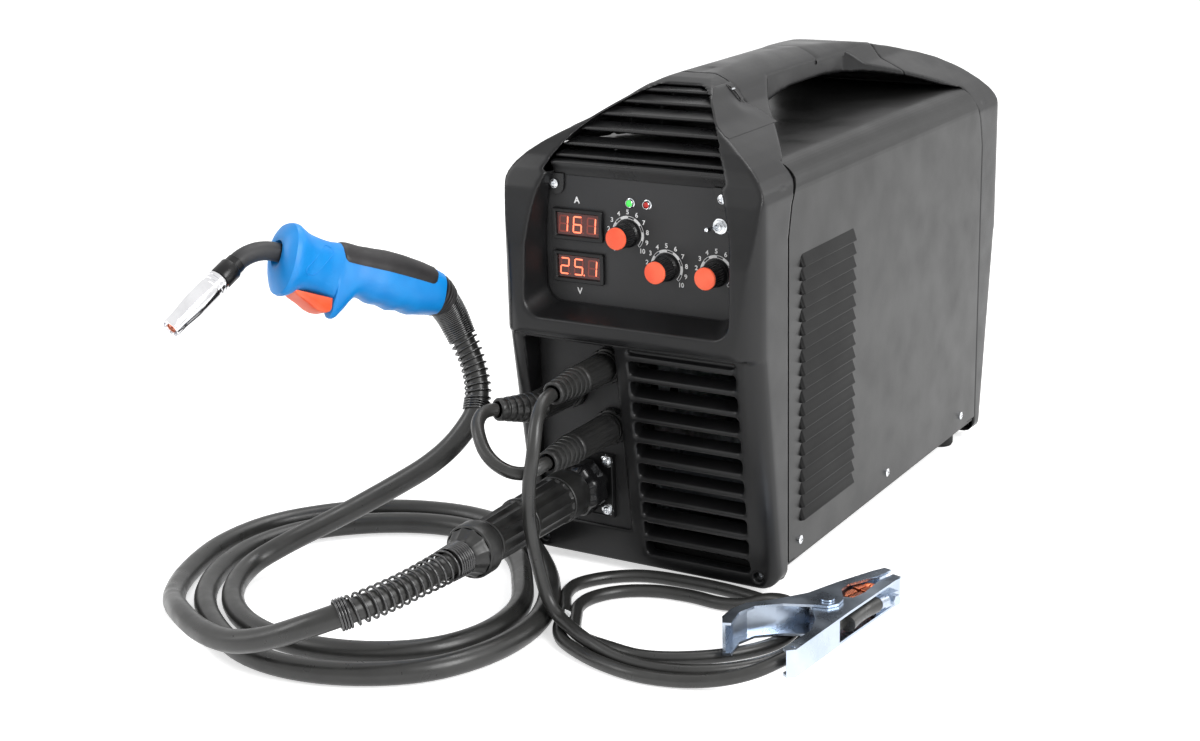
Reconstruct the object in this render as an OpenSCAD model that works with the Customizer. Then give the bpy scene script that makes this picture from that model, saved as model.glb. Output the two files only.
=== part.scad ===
/* [Body] */
// Width across the cover and both bezels
body_w = 230; // [215:1:250]
// Length of the sheet cover between the two bezels
cover_len = 412; // [380:1:440]
// Height of the cover's lower edge above the floor
cover_bottom = 25; // [22:0.5:30]
// Height of the bezels' underside above the floor
bezel_bottom = 8; // [5:0.5:12]
// Radius of the cover's long top edges
cover_r = 22; // [14:1:26]
// Thickness of the sheet-metal panels
sheet_t = 1.2; // [0.8:0.1:1.6]
// Wall of the moulded bezels and the handle
shell_t = 3; // [2:0.1:3.6]
// Gap between pieces that sit beside each other
fit_gap = 0.3; // [0.25:0.05:0.5]
// Clearance of a shaft in its bore, on the radius
run_gap = 0.05; // [0.02:0.01:0.09]

/* [Handle] */
// Height of the handle's top above the floor
handle_top = 402; // [396:1:410]
// Width of the handle's grip
handle_w = 64; // [54:1:72]
// Height of the grip's underside above the cover
finger_gap = 30; // [26:1:33]
// Thickness of the grip in the middle
grip_t = 27; // [24:1:32]
// Distance from the middle to each end of the loose handle piece
handle_half = 134; // [128:1:140]

/* [Front face] */
// Depth of the bezel's lower face in front of the seam, at the floor
face_depth = 22.5; // [18:0.5:28]
// Forward lean of the lower face
face_lean = 7.9; // [6:0.1:9]
// Depth of the lip under the control bay, in front of the seam
lip_depth = 58; // [54:0.5:62]
// Height of the lip under the control bay, from its lower edge to the bay's rim
lip_h = 16; // [12:1:20]
// Rounding of the bezels' upright corners below the control bay
corner_r = 15; // [8:1:20]
// Rounding of the upright corners beside the control bay
bay_corner_r = 22; // [15:1:24]
// Depth of the control panel in front of the seam
panel_depth = 28; // [25:0.5:30]
// Depth of the connector plate in front of the seam
plate_depth = 26; // [23:0.5:27]
// Thickness of the two front plates
plate_t = 2; // [1.5:0.1:2.5]
// Half the width of the control bay at its rim
rim_half = 92; // [88:1:96]
// Height of the control bay from its lower rim to the shoulder of the housing
bay_h = 56; // [52:1:60]
// Drop of the arched opening's top below the handle's top
arch_drop = 5; // [4:1:12]

/* [Controls] */
// Diameter of the knobs' caps
knob_d = 18.5; // [16:0.5:21]
// Length of the knobs
knob_len = 19; // [15:1:23]
// Radius of the potentiometer shafts
pot_r = 3; // [2.5:0.1:3.5]
// Width of a meter
meter_w = 46; // [42:1:50]
// Height of a meter
meter_h = 25; // [22:1:29]
// Turn of the toggle lever from straight out to either side
toggle_tilt = 12; // [8:1:15]

/* [Air grilles] */
// Number of slats in the lower grille
slat_count = 10; // [8:1:12]
// Pitch of the lower slats
slat_pitch = 17.6; // [16:0.1:18]
// Number of slats in the arched grille
top_slats = 6; // [4:1:7]
// Number of louvres in the cover
louvre_count = 20; // [10:1:22]
// Pitch of the louvres
louvre_pitch = 11; // [10:0.5:12]
// Length of one louvre
louvre_len = 95; // [80:1:105]

/* [Wire feed] */
// Radius of the wire spool's flanges
spool_r = 100; // [90:1:104]
// Width of the wire spool
spool_w = 54; // [46:1:56]
// Radius of the spool hub
hub_r = 25.45; // [24:0.05:26]
// Radius of the drive roll
roll_r = 15; // [12:0.5:16]
// Radius of the pressure roll
idler_r = 11; // [9:0.5:12]

/* [Gun] */
// Diameter of the gun lead
gun_d = 18; // [15:0.5:19]
// Radius of the lock nut on the gun plug
nut_r = 24; // [22:0.5:25]
// Outer radius of the gas nozzle
nozzle_r = 9.5; // [8:0.5:11]
// Length of the gas nozzle
nozzle_len = 56; // [50:1:62]
// Bend of the swan neck
neck_bend = 58; // [50:1:62]

/* [Earth lead] */
// Diameter of the earth lead and the jumper lead
lead_d = 10.5; // [9:0.5:12]
// Width of the clamp's arms
arm_w = 26; // [22:1:30]
// Thickness of the clamp's steel
arm_t = 2; // [1.5:0.1:2.5]

/* [Hidden] */
$fn = 48;
half_w = body_w / 2;
seam = cover_len / 2;
handle_low = handle_top - grip_t;
cover_top = handle_low - finger_gap;
roof_z = cover_top + fit_gap;
shoulder_z = handle_top - 127;
roof_start = handle_top - 80;
arch_top = handle_top - arch_drop;
rim_z = shoulder_z - bay_h;
lip_z = rim_z - lip_h;
grip_half = handle_w / 2;
sheet_in = half_w - sheet_t;
panel_y = -seam - panel_depth;
plate_y = -seam - plate_depth;
rear_y = seam + panel_depth;
base_z = cover_bottom - 3.5;
base_t = 1.5;
floor_z = base_z + base_t;
flange_x = sheet_in - fit_gap;
side_screw_z = cover_bottom + 12.6;
side_screws = [-seam + 19.5, -10, seam - 39.5];
bottom_screw_x = half_w - 15.3;
bottom_screw_z = bezel_bottom + 10;
tab_x = 74.6;
tab_z = shoulder_z + 47.4;
brow_z = shoulder_z + 53;
knob_spots = [[-10, shoulder_z + 12], [24, shoulder_z - 11.5], [67.4, shoulder_z - 11.5]];
// turn of the knobs' markers at the lowest setting
knob_zero = 135;
toggle_spot = [71, shoulder_z + 25.5];
lamp_spots = [[-7, shoulder_z + 36.8], [8, shoulder_z + 36.8]];
meter_x = -54.9;
meter_zs = [shoulder_z + 15.2, shoulder_z - 19.2];
pot_bush_r = 4.5;
lamp_r = 2.5;
socket_r = 15;
nose_r = 4.5;
plug_r = 12.6;
earth_spot = [-30, 178];
jumper_spots = [[-67, 152.5], [-28, 127]];
gun_x = -53;
gun_z = 75;
gun_plate = [50, 54];
gun_screw_spots = [for (s = [-1, 1]) for (t = [-1, 1])
    [gun_x + s * (gun_plate[0] / 2 - 6), gun_z + t * (gun_plate[1] / 2 - 6)]];
foot_spots = [[-88, -185], [88, -185], [-88, 185], [88, 185]];
foot_r = 13;
foot_hole_r = 2.75;
divider_x = -8;
spool_y = 70;
spool_z = cover_top - 150;
spool_x0 = -18;
spool_x1 = spool_x0 - spool_w;
wound_r = 62;
spool_wall = 3;
stub_r = 8;
roll_y = -150;
roll_x0 = -47;
roll_x1 = -59;
roll_z = gun_z - roll_r - 0.5;
idler_z = gun_z + idler_r + 0.5;
axle_r = 5;
arm_pin_y = -182;
arm_pin_z = 94;
arm_pin_r = 3;
tube_span = gun_x - 9;
idler_pin_r = 4;
fan_x = 50;
fan_z = 150;
fan_w = 92;
fan_pin_r = 4;
switch_spot = [-52, 262];
gland_spot = [-60, 118];
gas_spot = [-60, 66];
gas_r = 6.5;
bay_left = -half_w + 19;
bay_right = -13;
grille_left = -1;
grille_right = half_w - 22;
bay_top = lip_z - 3;
bay_low = 20;
shelf_z = 40;
rear_bay = half_w - 17;
door_y0 = -seam + 18;
door_y1 = seam - 9.5;
door_z0 = 46;
door_z1 = cover_top - 27;
hinge_x = -half_w - 3.5;
hinge_y = seam - 8.5;
hinge_zs = [door_z0 + 44, door_z1 - 48];
hinge_r = 1.6;
latch_spot = [-seam + 30, 190];
strap_at = [outer_half(handle_top - 18) - 1.9, -handle_half - 11, handle_top - 18];
latch_r = 4;
torch_at = [-174, -259, 224.5];
torch_turn = [17.6, -22.5, -115.9];
torch_len = 150;
neck_r = 7.5;
neck_curve = 41;
neck_tilt = 4;
neck_center = [torch_len + neck_curve * sin(neck_tilt), -neck_curve * cos(neck_tilt)];
neck_end = neck_center + neck_curve * [cos(90 + neck_tilt - neck_bend), sin(90 + neck_tilt - neck_bend)];
trigger_x = 130;
trigger_z = -30;
trigger_pin = 1.5;
clamp_at = [185, -285.5, 11.3];
clamp_turn = 74;
clamp_pin = 3;
arm_h = arm_w;
// routes of the leads, each from its plug outwards
earth_drop = [[-30, -320.6, 178], [-30, -327, 177.3], [-28.5, -338, 174], [-26, -349, 166],
    [-23.5, -357, 154], [-23, -362, 139], [-25, -364, 123], [-25.5, -365, 107], [-25.5, -365, 91],
    [-23.5, -365, 75], [-21, -364, 59], [-18, -362, 43], [-15.5, -361, 30], [-13, -359.5, 19],
    [-9.2, -357, 10], [-3.3, -353.2, 6.2]];
earth_tail = [[150.4, -372, 5.6], [155, -377, 6.5], [165, -382, 10], [176, -379, 15.5], [186, -365, 21.5],
    [193.8, -350, 24.3], [196, -330, 24.3], [197.4, -306, 24.3], [199, -289, 24.3], [203.4, -269.5, 24.3],
    [209.2, -248, 24.3]];
jumper_route = [[-81.9, -321.1, 158.2], [-84.3, -326.5, 159], [-85.5, -335, 158.5], [-82, -346, 154],
    [-76, -354, 147], [-67, -360, 138], [-56, -363, 131], [-45, -362, 126], [-36, -356, 124],
    [-30, -348, 125.5], [-28, -341, 126.8], [-28, -334.3, 127]];
gun_spring_a = [[-53, -417.5, 75], [-53.3, -430, 74.9], [-55, -446, 74], [-58.5, -462, 72.5],
    [-64, -480, 70], [-70, -497, 68], [-77, -512, 66], [-85, -525, 64]];
gun_run_a = [[-85.3, -525.4, 64], [-89, -531.5, 63], [-97, -538, 60], [-109, -541, 55], [-127, -541, 46],
    [-148, -540, 37]];
gun_spring_b = [[-164.5, -247, 205.8], [-161, -248.5, 192.5], [-155, -250.5, 180], [-147, -255, 166],
    [-140, -261, 152.5], [-133.5, -269.5, 139.5]];
gun_run_b = [[-133.3, -269.7, 139.1], [-130.3, -273.6, 133], [-130, -281, 126], [-134, -292, 116],
    [-149, -302, 98], [-174, -309, 79], [-200, -316, 64], [-228, -327, 48], [-256, -343, 33],
    [-277, -359, 22]];

// curves shared by the bezels, the grilles and the panels
function arch(z, half, z0, z1, a, b) = half * pow(max(0, 1 - pow(max(0, (z - z0) / (z1 - z0)), a)), b);
function outer_half(z) = max(arch(z, half_w, roof_start, handle_top, 2, 1.5),
    arch(z, grip_half + 10, handle_top - 30, handle_top, 2, 0.55));
function rim_w(z) = arch(z, rim_half, shoulder_z - 5, arch_top, 2.35, 0.6);
function ramp(n) = [for (i = [0:n]) 1 - pow(1 - i / n, 2)];
function arc(cx, cy, r, a0, a1, n) = [for (i = [0:n]) let (a = a0 + (a1 - a0) * i / n)
    [cx + r * cos(a), cy + r * sin(a)]];
function both(p) = concat(p, [for (i = [len(p) - 1:-1:0]) [-p[i][0], p[i][1]]]);
function outer_side() = [for (t = ramp(18)) let (z = roof_start + (handle_top - roof_start) * t)
    [outer_half(z), z]];
// drop of the roof line below the handle's top, each with its distance behind the lip
front_roof = [[33, 47], [45, 37], [60, 27], [80, 17], [100, 9], [115, 4.5], [130, 2.5]];
rear_roof = [[33, 44], [45, 34], [60, 28], [80, 22.5], [100, 18], [115, 15.3], [130, 12]];
function rim_side(z_end, n, k) = [for (t = ramp(n)) let (z = shoulder_z + (z_end - shoulder_z) * t)
    [rim_w(z) * k, z]];
// tube swept along a route
function unit(v) = v / norm(v);
function heading(p, i) = unit(p[min(i + 1, len(p) - 1)] - p[max(i - 1, 0)]);
function ring(c, t, ref, r, n) = let (u = unit(cross(t, ref)), v = cross(t, u))
    [for (k = [0:n - 1]) c + r * (cos(360 * k / n) * u + sin(360 * k / n) * v)];
function tube_points(p, r, n, ref) = [for (i = [0:len(p) - 1]) each ring(p[i], heading(p, i), ref, r, n)];
function tube_faces(m, n) = concat([[for (k = [0:n - 1]) k]],
    [for (i = [0:m - 2]) for (k = [0:n - 1]) [i * n + k, (i + 1) * n + k, (i + 1) * n + (k + 1) % n,
        i * n + (k + 1) % n]],
    [[for (k = [n - 1:-1:0]) (m - 1) * n + k]]);
module tube(p, r, n, ref) {
    polyhedron(points = tube_points(p, r, n, ref), faces = tube_faces(len(p), n));
}
module along_x(x0, x1) {
    translate([x0, 0, 0]) rotate([90, 0, 90]) linear_extrude(x1 - x0) children();
}
module along_y(y0, y1) {
    translate([0, y1, 0]) rotate([90, 0, 0]) linear_extrude(y1 - y0) children();
}
// box from one corner to the other
module block(a, b) {
    translate(a) cube(b - a);
}
// round bar from y0 to y1 at a spot of the front
module bar_y(spot, y0, y1, r) {
    translate([spot[0], y0, spot[1]]) rotate([-90, 0, 0]) cylinder(r = r, h = y1 - y0);
}
module bar_x(x0, x1, y, z, r) {
    translate([x0, y, z]) rotate([0, 90, 0]) cylinder(r = r, h = x1 - x0);
}
module mirrored_y() {
    mirror([0, 1, 0]) children();
}

// bezel outline seen from the front
module bezel_outline() {
    polygon(both(concat([[0, bezel_bottom]],
        arc(half_w - 12, bezel_bottom + 12, 12, -90, 0, 8), outer_side())));
}
// roof line and lip seen from the side, y in front of the seam
module bezel_profile(roof) {
    d = lip_depth;
    t = handle_top;
    end = roof[len(roof) - 1][1];
    polygon(concat([[60, 0], [-face_depth - 60, 0], [-face_depth - 60, lip_z],
        [-d + 2, lip_z], [-d, lip_z + 6],
        [-d + 2, t - 157], [-d + 4, t - 127], [-d + 13, t - 82], [-d + 19, t - 67], [-d + 25, t - 57]],
        [for (p = roof) [-d + p[0], t - p[1]]], [[seam + 1, t - end], [seam + 1, 0]]));
}
// plan of the upright corners, y in front of the seam
module bezel_plan(depth, r) {
    translate([-half_w, -depth + r]) square([body_w, depth - r + seam + 60]);
    translate([-half_w + r, -depth]) square([body_w - 2 * r, depth]);
    for (s = [-1, 1]) translate([s * (half_w - r), -depth + r]) circle(r);
}
// plan of the hood that narrows to the grip
module hood_plan() {
    h = half_w;
    g = grip_half;
    k = (half_w - grip_half) / 83;
    polygon(both([[0, -60], [h, -60], [h, 2], [h - 5 * k, 5], [h - 18 * k, 26], [h - 37 * k, 56],
        [h - 61 * k, 92], [h - 74 * k, 114], [g, 131], [g, seam + 1], [0, seam + 1]]));
}
// solid outer form of the front end, shrunk by t for its inside
module end_form(t, roof) {
    intersection() {
        translate([0, -seam, 0]) along_x(-half_w, half_w) offset(delta = -t) bezel_profile(roof);
        along_y(-seam - 80, 0) offset(delta = -t) bezel_outline();
        union() {
            translate([0, -seam, 0]) rotate([face_lean, 0, 0]) linear_extrude(lip_z / cos(face_lean) + 6)
                offset(delta = -t) bezel_plan(face_depth, corner_r);
            translate([0, -seam, lip_z + 0.2]) linear_extrude(handle_top)
                offset(delta = -t) bezel_plan(lip_depth, bay_corner_r);
        }
        union() {
            block([-half_w, -seam - 80, 0], [half_w, 0, roof_z]);
            translate([0, -seam, roof_z]) linear_extrude(80) offset(delta = -t) hood_plan();
        }
    }
}
module bay_outline(grow, low, half) {
    offset(delta = grow) polygon(both(concat([[0, low]], arc(half - 14, low + 14, 14, -90, 0, 6),
        rim_side(brow_z + 6, 8, half / rim_half))));
}
// funnel of the control bay from its rim to the panel
module bay_funnel(grow) {
    hull() {
        along_y(-seam - lip_depth - 1, -seam - lip_depth + 1) bay_outline(grow, rim_z, rim_half);
        along_y(panel_y - 0.01, panel_y) bay_outline(grow, rim_z + 8.5, rim_half - 7.7);
    }
}
module arch_shape() {
    z0 = brow_z + 5;
    polygon(both(concat([[0, z0]],
        [for (t = ramp(16)) let (z = z0 + (arch_top - z0) * t) [rim_w(z), z]])));
}
// opening of the arch, lower under the roof than at its rim
module arch_cut(gap) {
    along_y(-seam - 80, -handle_half - 25 - gap) offset(delta = -gap) arch_shape();
    along_y(-seam - 80, -handle_half - 10 - gap) offset(delta = -gap) intersection() {
        arch_shape();
        translate([-half_w, 0]) square([body_w, arch_top - 12]);
    }
}
// room for the panel that closes the control bay
module panel_seat() {
    along_y(panel_y, panel_y + 10) bay_outline(3 + fit_gap, rim_z + 8.5, rim_half - 7.7);
}
// rectangular bay with a sloping shelf at its foot
module shelf_bay(x0, x1, depth, grow) {
    y0 = -seam - 60;
    y1 = -seam - depth;
    block([x0 - grow, y0, shelf_z - grow], [x1 + grow, y1, bay_top + grow]);
    hull() {
        block([x0 - grow, y0, bay_low - grow], [x1 + grow, y0 + 1, bay_low + 30]);
        block([x0 - grow, y1 - 1, shelf_z - grow], [x1 + grow, y1, shelf_z + 10]);
    }
}
module grille_bay(grow) {
    block([grille_left - grow, -seam - 60, bay_low - grow],
        [grille_right + grow, -seam - 12, bay_top + grow]);
}
module lower_slat(z) {
    y = -seam - face_depth - z * tan(face_lean);
    along_x(grille_left - 1, grille_right + 1)
        polygon([[y, z], [y + 0.7, z - 4.8], [y + 13, z + 2.6], [y + 13, z + 6.4]]);
}
module bottom_bars(y0, y1, r) {
    for (s = [-1, 1]) bar_y([s * bottom_screw_x, bottom_screw_z], y0, y1, r);
}
// everything behind the seam and below the roof of the cover
module seam_cut() {
    along_x(-half_w - 1, half_w + 1) polygon([[-seam, 0], [-seam, cover_top - 55],
        [-seam + 6, cover_top - 30],
        [-seam + 16, cover_top - 12], [-seam + 16, roof_z], [60, roof_z], [60, 0]]);
}
// hollow end; children are the walls to add and the openings to cut
module bezel_blank(roof) {
    difference() {
        union() {
            difference() {
                end_form(0, roof);
                end_form(shell_t, roof);
                block([-half_w + shell_t, -seam - 12, bezel_bottom + shell_t],
                    [half_w - shell_t, -seam + 0.1, cover_top - 14]);
            }
            intersection() {
                end_form(0, roof);
                children(0);
            }
            bottom_bars(-seam - face_depth - 2, -seam - 10, 6.5);
        }
        children(1);
        bottom_bars(-seam - 40, -seam - 16, 4.4);
        bottom_bars(-seam - 40, -seam, 2.2);
        seam_cut();
    }
}

module front_bezel() {
    color([0.055, 0.055, 0.06]) {
        difference() {
            bezel_blank(front_roof) {
                union() {
                    bay_funnel(shell_t);
                    shelf_bay(bay_left, bay_right, plate_depth, shell_t);
                    grille_bay(shell_t);
                }
                union() {
                    bay_funnel(0);
                    arch_cut(0);
                    panel_seat();
                    shelf_bay(bay_left, bay_right, plate_depth, 0);
                    block([bay_left - 3.3, plate_y, shelf_z - 3.3],
                        [bay_right + 3.3, plate_y + 10, bay_top + 3.3]);
                    grille_bay(0);
                }
            }
            block([-half_w, -handle_half, 0], [half_w, 0, handle_top]);
            // slot for a carrying strap in the right flank
            translate(strap_at) rotate([0, 45, 25]) cube([22, 6, 16], center = true);
        }
        // bar that the strap goes round
        translate(strap_at) rotate([-90, 0, 25]) cylinder(r = 1.3, h = 10, center = true);
        intersection() {
            end_form(0, front_roof);
            for (i = [0:slat_count - 1]) lower_slat(bay_low + 16 + i * slat_pitch);
        }
    }
}

// lower edge of the handle piece, from the front hood over the grip to the rear hood
module handle_side() {
    h = handle_half;
    z = handle_low;
    t = handle_top;
    polygon([[-h, roof_z], [-h + 26, roof_z], [-h + 33, z - 25], [-h + 42, z - 16], [-h + 58, z - 8],
        [-h + 82, z - 3], [-h + 106, z - 0.5], [-h + 134, z], [h - 100, z - 0.5], [h - 68, z - 3],
        [h - 38, z - 5], [h - 20, z - 8], [h, z - 13], [h, t - 12], [h - 24, t - 8.5], [h - 44, t - 6],
        [h - 84, t - 3], [h - 124, t - 1], [-h + 104, t], [-h + 44, t - 1], [-h, t - 2.5]]);
}
module section_y(t) {
    offset(delta = -t) polygon(both(concat([[0, handle_top - 102], [half_w, handle_top - 102]],
        outer_side())));
}
module both_hoods(t) {
    for (s = [0, 1]) mirror([0, s, 0]) translate([0, -seam, handle_top - 102]) linear_extrude(120)
        offset(delta = -t) hood_plan();
}
module handle() {
    h = handle_half;
    z = handle_low;
    color([0.06, 0.06, 0.065]) difference() {
        intersection() {
            along_x(-half_w, half_w) handle_side();
            along_y(-h, h) section_y(0);
            both_hoods(0);
        }
        // hollow hoods at both ends that open into the bezels
        intersection() {
            along_y(-h - 1, h + 1) section_y(shell_t);
            both_hoods(shell_t);
            union() {
                block([-half_w, -h - 1, 300], [half_w, -h + 24, handle_top]);
                block([-half_w, -h, z + shell_t], [half_w, h + 1, handle_top]);
                block([-half_w, h - 30, z - 7], [half_w, h + 1, handle_top]);
            }
        }
    }
}

module rear_bezel() {
    color([0.055, 0.055, 0.06]) mirrored_y() difference() {
        bezel_blank(rear_roof) {
            union() {
                bay_funnel(shell_t);
                shelf_bay(-rear_bay, rear_bay, panel_depth, shell_t);
            }
            union() {
                bay_funnel(0);
                panel_seat();
                shelf_bay(-rear_bay, rear_bay, panel_depth, 0);
                block([-rear_bay - 3.3, panel_y, shelf_z - 3.3],
                    [rear_bay + 3.3, panel_y + 10, rim_z + 11.3]);
            }
        }
        // the rear hood lifts off the cover towards the grip
        along_x(-half_w - 1, half_w + 1) polygon([[-handle_half + 1, 300], [-seam + 17, 300],
            [-seam + 17, roof_z], [-seam + 38, handle_low - 25], [-seam + 54, handle_low - 19],
            [-handle_half, handle_low - 13], [-handle_half + 1, handle_low - 13]]);
        block([-half_w, -handle_half, 0], [half_w, 0, handle_top + 1]);
    }
}

module cover_outline(t) {
    r = cover_r;
    offset(delta = -t) {
        translate([-half_w, cover_bottom - 10]) square([body_w, cover_top - cover_bottom + 10 - r]);
        translate([-half_w + r, cover_top - 2 * r]) square([body_w - 2 * r, 2 * r]);
        for (s = [-1, 1]) translate([s * (half_w - r), cover_top - r]) circle(r);
    }
}
module louvre(z) {
    y0 = -seam + 24;
    translate([sheet_in, 0, z]) along_y(y0, y0 + louvre_len)
        polygon([[0, 0], [sheet_t + 2, 0.6], [sheet_t + 2.2, 2], [sheet_t, 7.4], [0, 7.4]]);
}
module louvre_slot(z) {
    y0 = -seam + 24;
    translate([sheet_in, 0, z]) along_y(y0 + 2, y0 + louvre_len - 2)
        polygon([[-1, -1], [sheet_t + 1, -1], [sheet_t + 1.1, 1.6], [0.2, 5.6], [-1, 5.6]]);
}
module cover() {
    h = half_w + 1;
    color([0.09, 0.09, 0.095]) difference() {
        union() {
            difference() {
                along_y(-seam + fit_gap, seam - fit_gap) cover_outline(0);
                along_y(-seam - 1, seam + 1) cover_outline(sheet_t);
            }
            for (i = [0:louvre_count - 1]) louvre(53.7 + i * louvre_pitch);
            for (z = hinge_zs) {
                block([-half_w - sheet_t, hinge_y, z - 20], [-half_w + 0.5, seam - 1, z - 10.5]);
                block([-half_w - sheet_t, hinge_y, z + 10.5], [-half_w + 0.5, seam - 1, z + 20]);
                translate([hinge_x, hinge_y, z - 20]) cylinder(r = 3.2, h = 9.5);
                translate([hinge_x, hinge_y, z + 10.5]) cylinder(r = 3.2, h = 9.5);
                translate([hinge_x, hinge_y, z - 20]) cylinder(r = hinge_r, h = 40);
            }
        }
        for (i = [0:louvre_count - 1]) louvre_slot(53.7 + i * louvre_pitch);
        for (y = side_screws) bar_x(-h, h, y, side_screw_z, 2.1);
        block([-h, -seam - 1, 0], [h, seam + 1, cover_bottom]);
        block([-h, door_y0 - fit_gap, door_z0 - fit_gap],
            [-sheet_in + 1, door_y1 + fit_gap, door_z1 + fit_gap]);
        for (s = [0, 1]) mirror([0, s, 0]) along_x(-h, h) polygon([[-seam - 1, cover_top - 56],
            [-seam + fit_gap, cover_top - 55], [-seam + 6 + fit_gap, cover_top - 30],
            [-seam + 16 + fit_gap, cover_top - 12], [-seam + 16 + fit_gap, cover_top + 1],
            [-seam - 1, cover_top + 1]]);
    }
}

module side_door() {
    color([0.09, 0.09, 0.095]) difference() {
        union() {
            block([-half_w, door_y0, door_z0], [-sheet_in, door_y1, door_z1]);
            // folded edges that stiffen the sheet
            block([-sheet_in, door_y0 + 22, door_z0], [-sheet_in + 8, door_y1 - 14, door_z0 + sheet_t]);
            block([-sheet_in, door_y0 + 22, door_z1 - sheet_t], [-sheet_in + 8, door_y1 - 14, door_z1]);
            for (z = hinge_zs) {
                block([-half_w - sheet_t, hinge_y - 18, z - 10], [-half_w + 0.5, hinge_y - 2, z + 10]);
                translate([hinge_x, hinge_y, z - 10]) cylinder(r = 3.2, h = 20);
                block([hinge_x, hinge_y - 3.2, z - 10], [-half_w, hinge_y - 2, z + 10]);
            }
        }
        for (z = hinge_zs) translate([hinge_x, hinge_y, z - 11]) cylinder(r = hinge_r + run_gap, h = 22);
        bar_x(-half_w - 1, -sheet_in + 1, latch_spot[0], latch_spot[1], latch_r + run_gap);
    }
}
module door_latch() {
    y = latch_spot[0];
    z = latch_spot[1];
    color([0.05, 0.05, 0.05]) {
        difference() {
            bar_x(-half_w - 4, -half_w - fit_gap, y, z, 11);
            block([-half_w - 5, y - 1.5, z - 9], [-half_w - 2.5, y + 1.5, z + 9]);
        }
        bar_x(-half_w - fit_gap, -sheet_in + 2, y, z, latch_r);
        block([-sheet_in + fit_gap, y - 5, z - 22], [-sheet_in + 2.3, y + 5, z + 5]);
    }
}

module base_plate() {
    y1 = seam + 8;
    end_x = half_w - shell_t - 1;
    color([0.12, 0.12, 0.13]) difference() {
        union() {
            block([-flange_x, -seam + 1, base_z], [flange_x, seam - 1, floor_z]);
            block([-end_x, -y1, base_z], [end_x, y1, floor_z]);
            for (s = [-1, 1]) mirror([s < 0 ? 1 : 0, 0, 0])
                block([flange_x - base_t, -seam + 14, base_z], [flange_x, seam - 14, side_screw_z + 8]);
            for (s = [0, 1]) mirror([0, s, 0])
                block([-107, -y1, bezel_bottom + shell_t + 2], [107, -y1 + base_t, floor_z]);
        }
        for (p = foot_spots) translate([p[0], p[1], base_z - 1]) cylinder(r = 6.3, h = 4);
        for (y = side_screws) bar_x(-half_w, half_w, y, side_screw_z, 1.7);
        for (s = [-1, 1]) bar_y([s * bottom_screw_x, bottom_screw_z], -y1 - 1, y1 + 1, 1.7);
        for (i = [0:5]) block([30, -60 + i * 14, base_z - 1], [80, -55 + i * 14, floor_z + 1]);
    }
}
module feet() {
    color([0.03, 0.03, 0.03]) for (p = foot_spots) translate([p[0], p[1], 0]) difference() {
        union() {
            cylinder(r = foot_r - 1, h = 2);
            translate([0, 0, 2]) cylinder(r = foot_r, h = base_z - 2.3);
            cylinder(r = 6, h = base_z + base_t + 0.5);
            translate([0, 0, floor_z + fit_gap]) cylinder(r = 9, h = 2.2);
        }
        translate([0, 0, -1]) cylinder(r = foot_hole_r, h = 40);
    }
}
module divider() {
    color([0.55, 0.56, 0.58]) difference() {
        union() {
            block([divider_x, -195, floor_z + fit_gap], [divider_x + base_t, 195, cover_top - 6]);
            block([divider_x, -195, floor_z + fit_gap], [divider_x + 14, 195, floor_z + fit_gap + base_t]);
            block([divider_x, -195, cover_top - 6 - base_t], [divider_x + 14, 195, cover_top - 6]);
        }
        bar_x(divider_x - 1, divider_x + 3, roll_y, roll_z, 20.3);
        for (z = [140, 230]) bar_x(divider_x - 1, divider_x + 3, -170, z, 9);
    }
}

module control_panel() {
    y0 = panel_y;
    y1 = panel_y + plate_t;
    color([0.07, 0.07, 0.075]) difference() {
        along_y(y0, y1) bay_outline(3, rim_z + 8.5, rim_half - 7.7);
        for (z = meter_zs) block([meter_x - meter_w / 2 + 1, y0 - 1, z - meter_h / 2 + 1],
            [meter_x + meter_w / 2 - 1, y1 + 1, z + meter_h / 2 - 1]);
        for (p = knob_spots) bar_y(p, y0 - 1, y1 + 1, pot_bush_r + 0.2);
        for (p = lamp_spots) bar_y(p, y0 - 1, y1 + 1, lamp_r + 0.2);
        bar_y(toggle_spot, y0 - 1, y1 + 1, 3.4);
        for (s = [-1, 1]) bar_y([s * tab_x, tab_z], y0 - 1, y1 + 1, 1.7);
    }
}
module connector_plate() {
    y0 = plate_y;
    y1 = plate_y + plate_t;
    color([0.07, 0.07, 0.075]) difference() {
        block([bay_left - 3, y0, shelf_z - 3], [bay_right + 3, y1, bay_top + 3]);
        for (p = concat([earth_spot], jumper_spots)) bar_y(p, y0 - 1, y1 + 1, 11.2);
        bar_y([gun_x, gun_z], y0 - 1, y1 + 1, 18.2);
        for (p = gun_screw_spots) bar_y(p, y0 - 1, y1 + 1, 1.7);
    }
}
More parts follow.
